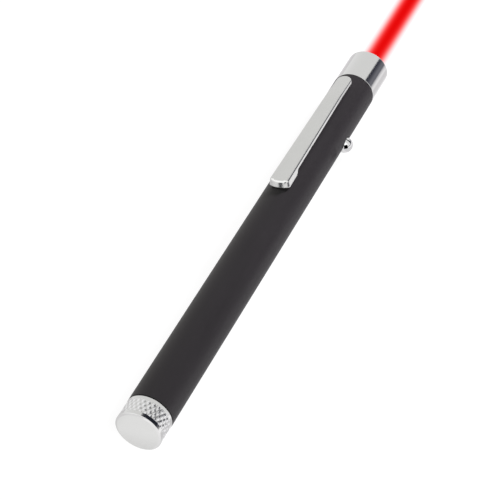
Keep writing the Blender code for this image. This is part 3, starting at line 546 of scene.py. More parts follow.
class PointerSizes(bpy.types.PropertyGroup):
    """Sizes of the pen's surfaces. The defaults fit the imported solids."""

    barrel_wall: length("Barrel wall", "Thickness of the tube", 1.0)
    barrel_edge: length("Barrel edge", "Rounding of the tube's ends", 0.2)
    fit_gap: length("Fit gap", "Gap between two pieces that fit together", 0.15)
    ball_radius: length("Ball radius", "Radius of the button's ball", 2.5)
    ball_sink: length("Ball sink", "Depth of the ball's middle below the barrel's side", 0.2)
    ball_flange: length("Ball flange", "Width of the rim that keeps the button in", 0.6)
    ball_flange_depth: length("Ball flange thickness", "Thickness of that rim", 0.5)
    button_hole: length("Button hole", "Radius of the hole round the ball", 2.7)
    slot_width: length("Slot width", "Width of the slot for the clip's tab", 3.8)
    slot_length: length("Slot length", "Length of that slot along the pen", 1.4)
    slot_corner: length("Slot corner", "Corner radius of that slot", 0.2)
    hole_edge: length("Hole edge", "Rounding of the rims of both holes", 0.1)
    knob_length: length("Knob length", "Length of the cap outside the barrel", 6.6)
    knob_edge: length("Knob edge", "Width of the sloping edge of the cap's end", 0.55)
    knob_edge_length: length("Knob edge length", "Length of that edge along the pen", 0.22)
    collar_bevel: length("Collar bevel", "Width of the slope at the collar's rear", 0.75)
    collar_fall: length("Collar fall", "Height of that slope", 0.2)
    knurl_start: length("Knurl start", "Where the knurl begins", 1.42)
    knurl_end: length("Knurl end", "Where the knurl ends", 5.75)
    knurl_depth: length("Knurl depth", "Depth of the knurl's grooves", 0.26)
    knurl_row: length("Knurl row", "Distance between two rows of studs", 1.2)
    knurl_count: bpy.props.IntProperty(
        name="Knurl count", description="Studs round the cap", default=28, min=3
    )
    boss_wall: length("Boss wall", "Wall of the cap's boss inside the barrel", 0.9)
    thread_start: length("Thread start", "Distance from the collar to the screw ridge", 0.8)
    thread_pitch: length("Thread pitch", "Travel of the cap in one turn", 1.0)
    thread_height: length("Thread height", "Height of the screw ridge", 0.4)
    thread_crest: length("Thread crest", "Width of the screw ridge's top", 0.25)
    groove_depth: length("Groove depth", "Depth of the barrel's screw groove", 0.37)
    groove_crest: length("Groove crest", "Width of that groove's bottom", 0.39)
    nose_step: length("Nose step", "How much the nose is smaller than the barrel", 0.02)
    nose_gap: length("Nose gap", "Groove between the barrel and the nose", 0.2)
    nose_edge: length("Nose edge", "Rounding of the nose's front", 0.45)
    nose_mouth: length("Nose mouth", "Radius of the cone at the front", 3.7)
    nose_hole: length("Nose hole", "Radius at the cone's bottom", 2.9)
    nose_mouth_depth: length("Nose mouth depth", "Depth of that cone", 1.6)
    bezel_flange: length("Bezel flange", "Thickness of the black ring's flange", 0.8)
    bezel_hole: length("Bezel hole", "Radius of the light's opening", 1.5)
    bezel_mouth: length("Bezel mouth", "Radius of the black ring's cone", 2.3)
    clip_sheet: length("Clip sheet", "Thickness of the clip's sheet", 0.5)
    clip_round: length("Clip rounding", "Outer rounding of the clip's bends", 0.55)
    clip_tail_width: length("Clip tail width", "Width of the clip's free end", 5.8)
    clip_head_width: length("Clip head width", "Width of the clip's round head", 4.6)
    clip_tail_corner: length("Clip corner", "Corner radius of the clip's free end", 1.7)
    clip_flange: length("Clip flange", "Depth of the turned-down sides", 1.2)
    clip_toe: length("Clip toe", "Length of the deeper free end", 7.2)
    clip_ramp: length("Clip ramp", "Length of the step from toe to flange", 1.2)
    clip_end_bow: length("Clip end bow", "Radius of the clip's slightly bowed free end", 5.5)
    clip_toe_gap: length("Clip toe gap", "Distance between the toe and the barrel", 0.35)
    clip_lip_round: length("Clip lip rounding", "Rounding of the lip at the free end", 1.1)
    clip_lip_depth: length("Clip lip depth", "Depth of that lip", 2.1)
    clip_splay: angle("Clip splay", "How far the turned-down sides lean outwards", 10)
    clip_lip_splay: angle("Clip lip splay", "How far the lip leans outwards", 22)
    clip_head_fall: length("Clip head fall", "How much lower the clip's head lies", 0.4)
    clip_head_slope: length("Clip head slope", "Length over which the clip falls to its head", 11.0)
    clip_reach: length("Clip reach", "How far the clip reaches past both ends of its solid", 0.3)
    tab_width: length("Tab width", "Width of the clip's tab", 3.0)
    tab_thickness: length("Tab thickness", "Thickness of that tab", 0.6)
    tab_setback: length("Tab setback", "Distance from the clip's head to its tab", 3.3)
    tab_bend: length("Tab bend", "Radius of the bend from the tab to its hook", 0.34)
    hook_reach: length("Hook reach", "Length of the hook under the barrel's wall", 2.0)
    hook_thickness: length("Hook thickness", "Thickness of that hook", 0.55)


class PointerColours(bpy.types.PropertyGroup):
    """Colours of the pen's finishes, as linear values."""

    lacquer: colour("Lacquer", "Black lacquer of the barrel", 0.0250, 0.0238, 0.0245)
    lacquer_gloss: number("Lacquer gloss", "Specular level of the lacquer", 0.14, min=0.0, max=1.0)
    chrome: colour("Chrome", "Chrome of the cap and the nose", 0.69, 0.69, 0.685)
    ball: colour("Ball", "Chrome of the button", 0.75, 0.75, 0.75)
    clip: colour("Clip", "Chrome of the clip", 0.67, 0.67, 0.66)
    brass: colour("Brass", "Turned brass of the inner pieces", 0.72, 0.53, 0.24)
    spring: colour("Spring", "Nickel-plated spring wire", 0.62, 0.62, 0.63)
    plastic: colour("Plastic", "Black moulded plastic", 0.03, 0.03, 0.03)
    nylon: colour("Nylon", "Pale nylon of the cell seals", 0.75, 0.74, 0.68)
    board: colour("Board", "Green mask of the circuit board", 0.03, 0.20, 0.08)
    tin: colour("Tin", "Tinned metal", 0.70, 0.70, 0.70)
    glass: colour("Glass", "Lens and window", 0.90, 0.94, 0.97)
    cell: colour("Cell", "Film of the cells", 0.03, 0.07, 0.22)
    cell_band: colour("Cell band", "Pale band of that film", 0.62, 0.62, 0.60)


class PointerStage(bpy.types.PropertyGroup):
    """The studio: its lamps, its surroundings and its floor."""

    key_power: number("Key lamp", "Power of the lamp behind on the right, in watts", 0.82, min=0.0)
    fill_power: number("Fill lamp", "Power of the warm lamp on the left, in watts", 2.05, min=0.0)
    side_power: number("Side lamp", "Power of the lamp ahead on the right, in watts", 7.1, min=0.0)
    ambient: number("Ambient", "Light from all round on matt surfaces", 0.05, min=0.0)
    shadow: number("Shadow", "Share of the floor's look that takes shadows", 0.15, min=0.0, max=1.0)
    floor_glow: number("Floor glow", "Brightness of the floor's own white", 1.12, min=0.0)
    beam_shown: bpy.props.BoolProperty(name="Beam", description="Show the red light", default=True)
    beam_radius: length("Beam radius", "Where the beam's soft edge ends", 4.4)
    beam_length: length("Beam length", "How far the beam is shown", 90.0)


# Pieces


def knurl_relief(clock, along, sizes):
    """Height of the knurl between 0 in its grooves and 1 on its studs.

    Two crossed sets of grooves follow a = n c / 2pi + s / 2h and b = n c / 2pi - s / 2h, where c is the clock
    angle, s the distance along and h the distance between rows. Each set is p wide from the middle between
    its grooves, 0 to 1, and the height is 1 - sqrt((p^2 + q^2) / 2), lowest where two grooves cross.
    """
    turn = sizes.knurl_count * (clock - KNURL_PHASE) / FULL_TURN
    rise = (along - sizes.knurl_start) / (2 * sizes.knurl_row)
    p, q = (np.abs((v % 1.0) - 0.5) * 2 for v in (turn + rise, turn - rise))
    return 1 - ((p**2 + q**2) / 2) ** 0.5


def thread_relief(clock, along, first, turns, sizes, crest, height):
    """Height of a right-hand screw ridge between 0 and 1.

    The distance from the nearest turn's middle is | frac(s / pitch - c / 2pi + 1/2) - 1/2 | pitch. The height
    falls evenly from 1 at half the crest's width to 0 over the flank, which is as wide as the ridge's height
    times its slope, and fades out at both ends.
    """
    offset = (along - first) / sizes.thread_pitch - clock / FULL_TURN
    nearest = np.round(offset)
    distance = np.abs(offset - nearest) * sizes.thread_pitch
    flank = height * THREAD_SLOPE
    ridge = np.clip((crest / 2 + flank - distance) / flank, 0.0, 1.0)
    turn = nearest + clock / FULL_TURN
    return ridge * smooth_step(turn, 0.0, THREAD_FADE) * (1 - smooth_step(turn, turns - THREAD_FADE, turns))


def tail_cap_patch(sizes, columns=336, knurl_rows=61, thread_rows=88):
    """The screw cap as one surface turned round the pen, with its knurl and its thread as reliefs.

    The outline runs from the middle of the flat end over the sloping edge, the plain band, the knurl, the
    collar and the threaded boss, and back inside the boss to the middle of the cup's floor.
    """
    radius, boss_end = round_radius("tail_cap"), ends_of("tail_cap")[1]
    boss = round_radius("barrel") - sizes.barrel_wall - sizes.fit_gap
    cup, floor = boss - sizes.boss_wall, ends_of("spring_washer")[0] - sizes.fit_gap
    start, end, knob = sizes.knurl_start, sizes.knurl_end, sizes.knob_length
    fall, bevel, lead = sizes.collar_fall, sizes.collar_bevel, 0.05 * MM
    face = outline(
        [(radius * share, 0.0) for share in (0.0, 0.3, 0.6, 0.8)]
        + [(radius - sizes.knob_edge, 0.0, 0.12 * MM), (radius, sizes.knob_edge_length, 0.12 * MM)]
        + [(radius, start - lead), (radius, start)],
        steps=5,
    )
    knurl_along = np.linspace(start + lead, end - lead, knurl_rows)
    collar = outline(
        [(radius - fall, end), (radius - fall * 0.9, end + bevel * 0.1), (radius, end + bevel)]
        + [(radius, knob, 0.08 * MM), (boss, knob, 0.05 * MM), (boss, knob + 0.25 * MM)],
        steps=4,
    )
    thread_along = np.linspace(knob + 0.35 * MM, boss_end - 0.4 * MM, thread_rows)
    inside = outline(
        [(boss, boss_end - 0.3 * MM), (boss - 0.02 * MM, boss_end, 0.2 * MM), (cup, boss_end, 0.08 * MM)]
        + [(cup, floor, 0.3 * MM), (cup * 0.5, floor), (0.0, floor)],
        steps=4,
    )
    clock = around(columns)[None, :]
    knurl = knurl_relief(clock, knurl_along[:, None], sizes)
    thread = (knob + sizes.thread_start, THREAD_TURNS, sizes, sizes.thread_crest, sizes.thread_height)
    ridge = thread_relief(clock, thread_along[:, None], *thread)
    plain = np.ones((1, columns))
    knurled, threaded = radius - sizes.knurl_depth * (1 - knurl), boss + sizes.thread_height * ridge
    radii = np.concatenate(
        (face[:, :1] * plain, knurled, collar[:, :1] * plain, threaded, inside[:, :1] * plain)
    )
    along = np.concatenate((face[:, 1], knurl_along, collar[:, 1], thread_along, inside[:, 1]))
    return on_pen(radii, along[:, None], clock), grid_faces(len(along), columns)


def hole_loop(hole, grow, square):
    """The rim of a hole, seen flat: the square's points drawn in to a rectangle with round corners.

    Each point p of the rectangle goes to q + c (p - q) / |p - q|, where q is the nearest point of the
    rectangle that is smaller by the corner's radius c. A corner as large as the half size gives a circle.
    """
    half, corner = np.array(hole["half"]) + grow, hole["corner"] + grow
    p = square * half
    q = np.clip(p, corner - half, half - corner)
    far = np.linalg.norm(p - q, axis=1, keepdims=True)
    return q + (p - q) * (corner / np.maximum(far, 1e-12))


def hole_patches(hole, radius_out, radius_in, edge, columns):
    """The skins round a hole, outside and inside, and its wall with a rounded outer rim.

    A loop that is x wide at a radius r lies at the clock angle asin(x / r). Between the rim and the square
    of grid lines round it, clock angle and place are shared out evenly.
    """
    side = np.linspace(-1.0, 1.0, hole["cells"] + 1)[:-1]
    ones = np.ones(len(side))
    turns = ((side, -ones), (ones, side), (-side, ones), (-ones, -side))
    square = np.concatenate([np.stack(turn, axis=1) for turn in turns])
    step = FULL_TURN / columns
    square_clock = (hole["column"] + square[:, 0] * hole["cells"] / 2) * step
    square_along = hole["along"] + square[:, 1] * hole["patch_half"]
    shares = np.array((0.0, 0.08, 0.2, 0.4, 0.68, 1.0))[:, None]

    def loop_at(radius, grow):
        flat = hole_loop(hole, grow, square)
        return hole["column"] * step + np.arcsin(flat[:, 0] / radius), hole["along"] + flat[:, 1]

    def skin(radius, grow):
        clock, along = loop_at(radius, grow)
        clocks, alongs = clock + (square_clock - clock) * shares, along + (square_along - along) * shares
        return on_pen(radius, alongs, clocks), grid_faces(len(shares), len(square))

    lean = np.linspace(0.0, QUARTER_TURN, 6)
    rows = [(radius_out - edge * (1 - math.cos(a)), edge * (1 - math.sin(a))) for a in lean]
    rows += [(radius_out - edge * 1.5, 0.0), (radius_in + edge, 0.0), (radius_in, 0.0)]
    wall = np.stack([on_pen(radius, *loop_at(radius, grow)[::-1]) for radius, grow in rows])
    return [skin(radius_out, edge), skin(radius_in, 0.0), (wall, grid_faces(len(rows), len(square)))]


def open_grid(radii, along, clock, holes):
    """A tube's skin over clock angle and place, without the cells that the holes' patches fill."""
    faces = grid_faces(len(along), len(clock))
    middle_along = (along[:-1] + along[1:]) / 2
    keep = np.ones(faces.shape[:2], dtype=bool)
    for hole in holes:
        column = np.arange(len(clock)) + 0.5 - hole["column"]
        column = (column + len(clock) / 2) % len(clock) - len(clock) / 2
        inside = np.abs(middle_along - hole["along"])[:, None] < hole["patch_half"]
        keep &= ~(inside & (np.abs(column) < hole["cells"] / 2)[None, :])
    return on_pen(radii, along[:, None], clock[None, :]), faces[keep]


def barrel_patches(sizes, columns=192, mouth_rows=74):
    """The tube's outer and inner skins, its ends, its two holes, and the thread's groove as a relief."""
    radius = round_radius("barrel")
    bore, edge = radius - sizes.barrel_wall, sizes.barrel_edge
    first, last = ends_of("barrel")
    button_hole = {
        "column": columns // 3,
        "along": sum(ends_of("button")) / 2,
        "half": (sizes.button_hole, sizes.button_hole),
        "corner": sizes.button_hole,
        "cells": 36,
        "patch_half": 3.6 * MM,
    }
    clip_slot = {
        "column": 0,
        "along": ends_of("clip")[1] - sizes.tab_setback,
        "half": (sizes.slot_width / 2, sizes.slot_length / 2),
        "corner": sizes.slot_corner,
        "cells": 28,
        "patch_half": 1.8 * MM,
    }
    holes = (button_hole, clip_slot)
    rows = [h["along"] + np.linspace(-1.0, 1.0, h["cells"] + 1) * h["patch_half"] for h in holes]
    rows.append(np.linspace(first + 8 * MM, last - 30 * MM, 12))
    outer = np.unique(np.concatenate(((first + 1.3 * edge, last - 1.3 * edge), *rows)))
    mouth = np.linspace(first, first + MOUTH_LENGTH, mouth_rows)
    inner = np.unique(np.concatenate((mouth, (last,), *rows)))
    clock = around(columns)
    groove_start = sizes.knob_length + sizes.thread_start - GROOVE_LEAD_TURNS * sizes.thread_pitch
    thread = (groove_start, GROOVE_TURNS, sizes, sizes.groove_crest, sizes.groove_depth)
    groove = thread_relief(clock[None, :], inner[:, None], *thread)
    inner_radii = bore + sizes.groove_depth * groove * (inner < first + GROOVE_LENGTH)[:, None]
    lean = np.linspace(0.0, QUARTER_TURN, 6)[1:]
    rim_radii = (radius, radius, *(radius - edge * (1 - np.cos(lean))), radius - 1.3 * edge)
    rim_alongs = (1.3 * edge, edge, *(edge * (1 - np.sin(lean))), 0.0)

    def rim(end, direction, inner_ring):
        """One end: the arc from the outer skin, then the flat ring to the bore."""
        along = end + direction * np.array(rim_alongs)[:, None]
        ring = on_pen(np.array(rim_radii)[:, None], along, clock[None, :])
        points = np.concatenate((ring, on_pen(inner_ring[None, :], end, clock[None, :])))
        return points, grid_faces(len(points), columns)

    patches = [
        open_grid(np.full((len(outer), 1), radius), outer, clock, holes),
        open_grid(inner_radii, inner, clock, holes),
        rim(first, 1.0, inner_radii[0]),
        rim(last, -1.0, inner_radii[-1]),
    ]
    return patches + [p for h in holes for p in hole_patches(h, radius, bore, sizes.hole_edge, columns)]


def clip_depth(place, lip, sizes, tail, top):
    """Depth of the clip's turned-down edge at places seen from above.

    At the toe the edge follows the barrel at a small distance: top - sqrt(reach^2 - x^2). From there a
    smooth ramp leads to the plain flange. Where the share of the lip is 1, the edge is the lip's.
    """
    inner = np.maximum(0.0, np.abs(place[:, 0]) - sizes.clip_sheet)
    deep = top - np.sqrt((round_radius("barrel") + sizes.clip_toe_gap) ** 2 - inner**2)
    share = smooth_step(place[:, 1], tail + sizes.clip_toe, tail + sizes.clip_toe + sizes.clip_ramp)
    side = deep + (sizes.clip_flange - deep) * share
    return side + (sizes.clip_lip_depth - side) * lip


def clip_top(along, sizes, top, head):
    """Height of the clip's top face: level, and lower by a smooth step towards its head."""
    return top - sizes.clip_head_fall * smooth_step(along, head - sizes.clip_head_slope, head)


def clip_outline(sizes, tail, head):
    """The clip seen from above: places and outward directions, from the middle of its tail round its side.

    A wide arc for the end, a corner's arc that touches it and the side, a side that draws in evenly, and a
    quarter circle round the head; then the same mirrored.
    """
    tail_half, head_half = sizes.clip_tail_width / 2, sizes.clip_head_width / 2
    corner, bow = sizes.clip_tail_corner, sizes.clip_end_bow
    touch = math.asin((tail_half - corner) / (bow - corner))
    corner_y = tail + bow - (bow - corner) * math.cos(touch)
    middles = ((0.0, tail + bow), (tail_half - corner, corner_y), (0.0, head - head_half))
    end_out = circle_points(np.linspace(-QUARTER_TURN, touch - QUARTER_TURN, 11)[:-1])
    corner_out = circle_points(np.linspace(touch - QUARTER_TURN, 0.0, 15)[:-1])
    head_out = circle_points(np.linspace(0.0, QUARTER_TURN, 29))
    outs = (end_out, corner_out, head_out)
    arcs = [np.array(m) + out * radius for m, out, radius in zip(middles, outs, (bow, corner, head_half))]
    share = np.linspace(0.0, 1.0, 91)[:-1]
    side_x = tail_half + (head_half - tail_half) * share
    side_y = corner_y + (head - head_half - corner_y) * share
    side = np.stack((side_x, side_y), axis=1)
    places = np.concatenate((*arcs[:2], side, arcs[2]))
    outward = np.concatenate((*outs[:2], np.tile((1.0, 0.0), (len(side), 1)), outs[2]))
    flip = np.array((-1.0, 1.0))
    return tuple(np.concatenate((half, half[-2:0:-1] * flip)) for half in (places, outward))


def clip_patch(sizes):
    """The clip's sheet as one closed surface: its section is carried round its outline.

    The section runs from the middle line over the top, round the outer bend, down the flange, round its
    lower edge, up inside and back under the top to the middle line. The sides lean out past the outline
    below their bend, and the lip at the free end leans out up to it.
    """
    low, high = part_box("clip")
    tail, head = low.y - sizes.clip_reach, high.y + sizes.clip_reach
    places, outward = clip_outline(sizes, tail, head)
    sheet, tail_end = sizes.clip_sheet, tail + sizes.clip_tail_width / 2
    lip = smooth_step(-outward[:, 1], 0.15, 0.95) * (places[:, 1] < tail_end)
    spine_y = np.clip(places[:, 1], tail_end, head - sizes.clip_head_width / 2)
    spine = np.stack((np.zeros(len(places)), spine_y), axis=1)
    depth = clip_depth(places, lip, sizes, tail, clip_top(places[:, 1], sizes, high.z, head))
    bend = sizes.clip_round + (sizes.clip_lip_round - sizes.clip_round) * lip
    lean_end = QUARTER_TURN - sizes.clip_splay * (1 - lip) - sizes.clip_lip_splay * lip
    fall = bend * (1 - np.cos(lean_end))
    run = (depth - fall) / np.tan(lean_end)
    past = run * (1 - lip)
    reach = bend * np.sin(lean_end) + run - past
    rows = []

    def level_row(inset, drop, share=1.0):
        """A row at an inset and below the top, or at a share of the way to it from the middle line."""
        level = spine + (places - outward * np.reshape(inset, (-1, 1)) - spine) * share
        rows.append(np.column_stack((level, clip_top(level[:, 1], sizes, high.z, head) - drop)))

    def bend_row(share, offset, radius):
        """A row on the bend at a share of its lean, for the outer skin or for one that lies inside it."""
        lean = lean_end * share
        level_row(reach - radius * np.sin(lean), offset + radius * (1 - np.cos(lean)))

    def wall_row(share, offset):
        """A row on the straight part of the turned-down edge, at a depth inside the sheet."""
        inset = run * (1 - share) - past + offset * np.sin(lean_end)
        level_row(inset, fall + (depth - fall) * share + offset * np.cos(lean_end))

    for share in (0.0, 0.3, 0.6, 0.85, 0.96):
        level_row(reach, 0.0, share)
    for share in np.linspace(0.0, 1.0, 10):
        bend_row(share, 0.0, bend)
    for share in (0.1, 0.35, 0.7, 0.9):
        wall_row(share, 0.0)
    for turn in np.linspace(0.0, math.pi, 9):
        wall_row(0.9 + 0.1 * math.sin(turn), sheet / 2 * (1 - math.cos(turn)))
    for share in (0.6, 0.1):
        wall_row(share, sheet)
    for share in np.linspace(1.0, 0.0, 6):
        bend_row(share, sheet, np.maximum(bend - sheet, 0.05 * MM))
    for share in (0.9, 0.6, 0.0):
        level_row(reach, sheet, share)
    return np.stack(rows), grid_faces(len(rows), len(places))


def tab_patch(sizes):
    """The clip's tab and hook: a strip carried down through the slot and back under the wall.

    The path is two straight legs joined by a quarter circle. The strip's section, a rectangle with round
    corners, lies at path + across x + depth n, where n is the path's normal.
    """
    low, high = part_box("clip")
    tab_y, hook_z = high.y - sizes.tab_setback, low.z + sizes.hook_thickness / 2
    bend, thick, across = sizes.tab_bend, sizes.tab_thickness / 2, sizes.tab_width / 2
    quarter = circle_points(-np.linspace(0.0, QUARTER_TURN, 7))
    top = (tab_y, clip_top(tab_y, sizes, high.z, high.y) - sizes.clip_sheet / 2)
    hook_end = (tab_y - thick - sizes.hook_reach, hook_z)
    path = np.concatenate(([top], np.array((tab_y - bend, hook_z + bend)) + bend * quarter, [hook_end]))
    normal = np.concatenate((quarter[:1], quarter, quarter[-1:]))
    half = np.linspace(thick, sizes.hook_thickness / 2, len(path))
    cut = sizes.tab_thickness / 7
    turns = ((-1, -1), (1, -1), (1, 1), (-1, 1))
    section = outline([(x * across, z * thick, cut) for x, z in turns], steps=2)
    depth = section[None, :, 1] * half[:, None] / thick
    points = np.empty((len(path), len(section), 3))
    points[..., 0] = section[:, 0]
    points[..., 1:] = path[:, None] + normal[:, None] * depth[..., None]
    ends = [np.broadcast_to(row.mean(axis=0), row.shape)[None] for row in (points[0], points[-1])]
    return np.concatenate((ends[0], points, ends[1])), grid_faces(len(path) + 2, len(section))


def button_patch(sizes, columns=96):
    """The ball button, turned about its own axis, which points out of the barrel at its clock angle."""
    ball, barrel = sizes.ball_radius, round_radius("barrel")
    flange, middle = ball + sizes.ball_flange, barrel - sizes.ball_sink
    flange_top = math.sqrt((barrel - sizes.barrel_wall) ** 2 - flange**2) - sizes.fit_gap
    flange_bottom = flange_top - sizes.ball_flange_depth
    root = outline(
        [(0.0, flange_bottom), (flange, flange_bottom, 0.06 * MM), (flange, flange_top, 0.06 * MM)]
        + [(ball, flange_top, 0.05 * MM), (ball, middle - sizes.ball_sink * 2)],
        steps=3,
    )
    dome = circle_points(np.linspace(0.0, QUARTER_TURN, 33)) * ball + np.array((0.0, middle))
    profile = np.concatenate((root, dome))
    out = np.array((math.sin(BUTTON_CLOCK), 0.0, math.cos(BUTTON_CLOCK)))
    side = np.array((math.cos(BUTTON_CLOCK), 0.0, -math.sin(BUTTON_CLOCK)))
    turn = around(columns)[:, None]
    ring = np.array((0.0, 1.0, 0.0)) * np.cos(turn) + side * np.sin(turn)
    points = profile[:, :1, None] * ring[None] + profile[:, 1:, None] * out
    points[..., 1] += sum(ends_of("button")) / 2
    return points, grid_faces(len(profile), columns)


def spring_centres(start, length_along, turns, first_radius, last_radius, points_per_turn=48):
    """The middle line of a coil about the pen, whose radius changes evenly along it."""
    share = np.linspace(0.0, 1.0, turns * points_per_turn + 1)
    radius = first_radius + (last_radius - first_radius) * share
    return on_pen(radius, start + length_along * share, FULL_TURN * turns * share)


# Operators


class PieceOperator:
    """What every piece's operator shares."""

    bl_options = {"REGISTER", "UNDO"}

    def execute(self, context):
        self.make(context.scene.pointer_sizes)
        return {"FINISHED"}


class POINTER_OT_barrel(PieceOperator, bpy.types.Operator):
    """Makes the black tube with its button hole, its clip slot and its threaded mouth"""

    bl_idname = "pointer.barrel"
    bl_label = "Barrel"

    def make(self, sizes):
        add_piece("barrel_tube", barrel_patches(sizes), "pen", "black_lacquer", ["barrel"])


class POINTER_OT_tail_cap(PieceOperator, bpy.types.Operator):
    """Makes the knurled screw cap"""

    bl_idname = "pointer.tail_cap"
    bl_label = "Tail cap"

    def make(self, sizes):
        add_piece("screw_cap", [tail_cap_patch(sizes)], "cap", "chrome_plate", ["tail_cap"], "cap_chrome")


class POINTER_OT_nose_cap(PieceOperator, bpy.types.Operator):
    """Makes the chrome nose ring and its black bezel"""

    bl_idname = "pointer.nose_cap"
    bl_label = "Nose cap"

    def make(self, sizes):
        radius = round_radius("barrel") - sizes.nose_step
        insert = round_radius("barrel") - sizes.barrel_wall - sizes.fit_gap
        spigot, end = ends_of("nose_cap")
        ring_start = ends_of("barrel")[1] + sizes.nose_gap
        bezel_start, bezel_end = ends_of("lens_bezel")
        flange_end = bezel_start + sizes.bezel_flange
        neck = round_radius("lens_bezel", BEZEL_SIDES)
        bore = neck + sizes.fit_gap
        seat = flange_end + sizes.fit_gap * 2 / 3
        hole, mouth = sizes.nose_hole, sizes.nose_mouth
        ring = [
            (bore, spigot, 0.05 * MM),
            (insert, spigot, 0.15 * MM),
            (insert, ring_start, 0.03 * MM),
            (radius, ring_start, 0.12 * MM),
            (radius, end, sizes.nose_edge),
            (mouth, end, 0.12 * MM),
            (hole, end - sizes.nose_mouth_depth, 0.12 * MM),
            (hole, seat, 0.03 * MM),
            (bore, seat, 0.03 * MM),
        ]
        bezel = [
            (sizes.bezel_hole, bezel_start, 0.05 * MM),
            (neck, bezel_start, 0.06 * MM),
            (neck, flange_end, 0.06 * MM),
            (hole - sizes.fit_gap, flange_end, 0.05 * MM),
            (hole - sizes.fit_gap, bezel_end, 0.1 * MM),
            (sizes.bezel_mouth, bezel_end, 0.08 * MM),
            (sizes.bezel_hole, bezel_start + 0.5 * MM, 0.1 * MM),
        ]
        turned_piece("nose_ring", ring, "chrome_plate", ["nose_cap"], columns=192)
        turned_piece("lens_bezel_ring", bezel, "black_plastic", ["lens_bezel"])


class POINTER_OT_clip(PieceOperator, bpy.types.Operator):
    """Makes the pocket clip with its tab and hook"""

    bl_idname = "pointer.clip"
    bl_label = "Pocket clip"

    def make(self, sizes):
        add_piece("clip_sheet", [clip_patch(sizes), tab_patch(sizes)], "clip", "clip_chrome", ["clip"])


class POINTER_OT_button(PieceOperator, bpy.types.Operator):
    """Makes the ball button"""

    bl_idname = "pointer.button"
    bl_label = "Push button"

    def make(self, sizes):
        add_piece(
            "button_ball", [button_patch(sizes)], "push_button", "chrome_plate", ["button"], "ball_chrome"
        )


class POINTER_OT_springs(PieceOperator, bpy.types.Operator):
    """Makes the three coil springs as round wires"""

    bl_idname = "pointer.springs"
    bl_label = "Springs"

    def make(self, sizes):
        for name, body, wire, turns, first_radius, last_radius in (
            ("tail_spring", "cap_carriage", 0.6 * MM, 6, 3.7 * MM, 2.4 * MM),
            ("contact_spring", "pen", 0.4 * MM, 3, 1.3 * MM, 2.6 * MM),
            ("lens_spring", "pen", 0.35 * MM, 7, 3.065 * MM, 3.065 * MM),
        ):
            first, last = ends_of(name)
            centres = spring_centres(first + wire / 2, last - first - wire, turns, first_radius, last_radius)
            add_piece(f"{name}_wire", [wire_patch(centres, wire / 2)], body, "spring_steel", [name])


class POINTER_OT_carried(PieceOperator, bpy.types.Operator):
    """Gives its finish to every solid that is shown as it is"""

    bl_idname = "pointer.carried"
    bl_label = "Inner pieces"

    def make(self, sizes):
        slots = {s["node"]: s["material_slot"] for s in frame["record"]["subparts"]}
        for node, carried in frame["nodes"].items():
            carried.data.materials.clear()
            carried.data.materials.append(finish(node if node in CHIPS else slots[node]))


# Stage

CAMERA_PLACE = Vector((0.19392, -0.26240, 0.32308))
CAMERA_AIM = Vector((-0.00061, 0.07206, 0.00037))
CAMERA_ROLL = math.radians(-9.867)
CAMERA_LENS = 130.284
CAMERA_SENSOR = 36.0
CAMERA_RANGE = (0.01, 20.0)
DISC_DIRECTION = (-0.12, -0.98, 0.12)
DISC_EDGE_ANGLES = (math.radians(15.0), math.radians(13.0))
FLOOR_HALF = 4.0
FLOOR_COLOUR = (0.86, 0.86, 0.86)
FLAG_MIDDLE = (9.3 * MM, 122.7 * MM, -2.0 * MM)
FLAG_ACROSS = (0.77, 0.63, 0.0)
FLAG_HALF = 2.6 * MM
BEAM_COLOUR = (0.944, 0.0, 0.0)
BEAM_DENSITY = 1020.0
NEAR_BLACK = (0.018, 0.020, 0.030)


def stage_object(name, points, faces, material, closed=False, hidden_from=()):
    """An object of the studio, which isn't a piece of the pen. Some kinds of rays don't meet it."""
    made = new_object(name, new_mesh(name, points, faces, material, closed))
    for rays in hidden_from:
        setattr(made, f"visible_{rays}", False)


def card(name, middle, across, up, material, hidden_from=()):
    """A flat square card: its corners lie at middle +- across +- up."""
    corner = np.array(((-1, -1), (1, -1), (1, 1), (-1, 1)))
    points = np.array(middle) + corner[:, :1] * np.array(across) + corner[:, 1:] * np.array(up)
    stage_object(name, points, np.arange(4), material, hidden_from=hidden_from)


def lamp(name, place, aim_y, size, power, tint=WHITE):
    """A soft square lamp that mirrors don't show, aimed at a point of the pen's axis."""
    data = bpy.data.lights.new(name, "AREA")
    data.shape, data.size, data.energy, data.color = "SQUARE", size, power, tint
    made = new_object(name, data)
    made.location = place
    made.rotation_mode = "QUATERNION"
    made.rotation_quaternion = (Vector((0.0, aim_y, 0.0)) - Vector(place)).to_track_quat("-Z", "Y")
    made.visible_glossy = False


def ray_kinds(r):
    """1 for mirrored light and 0 for other light, and 1 for what the camera sees, also through glass."""
    light = r.node("ShaderNodeLightPath").outputs
    seen = r.maths("MAXIMUM", light["Is Camera Ray"], light["Is Transmission Ray"])
    return Value(r, light["Is Glossy Ray"]), seen


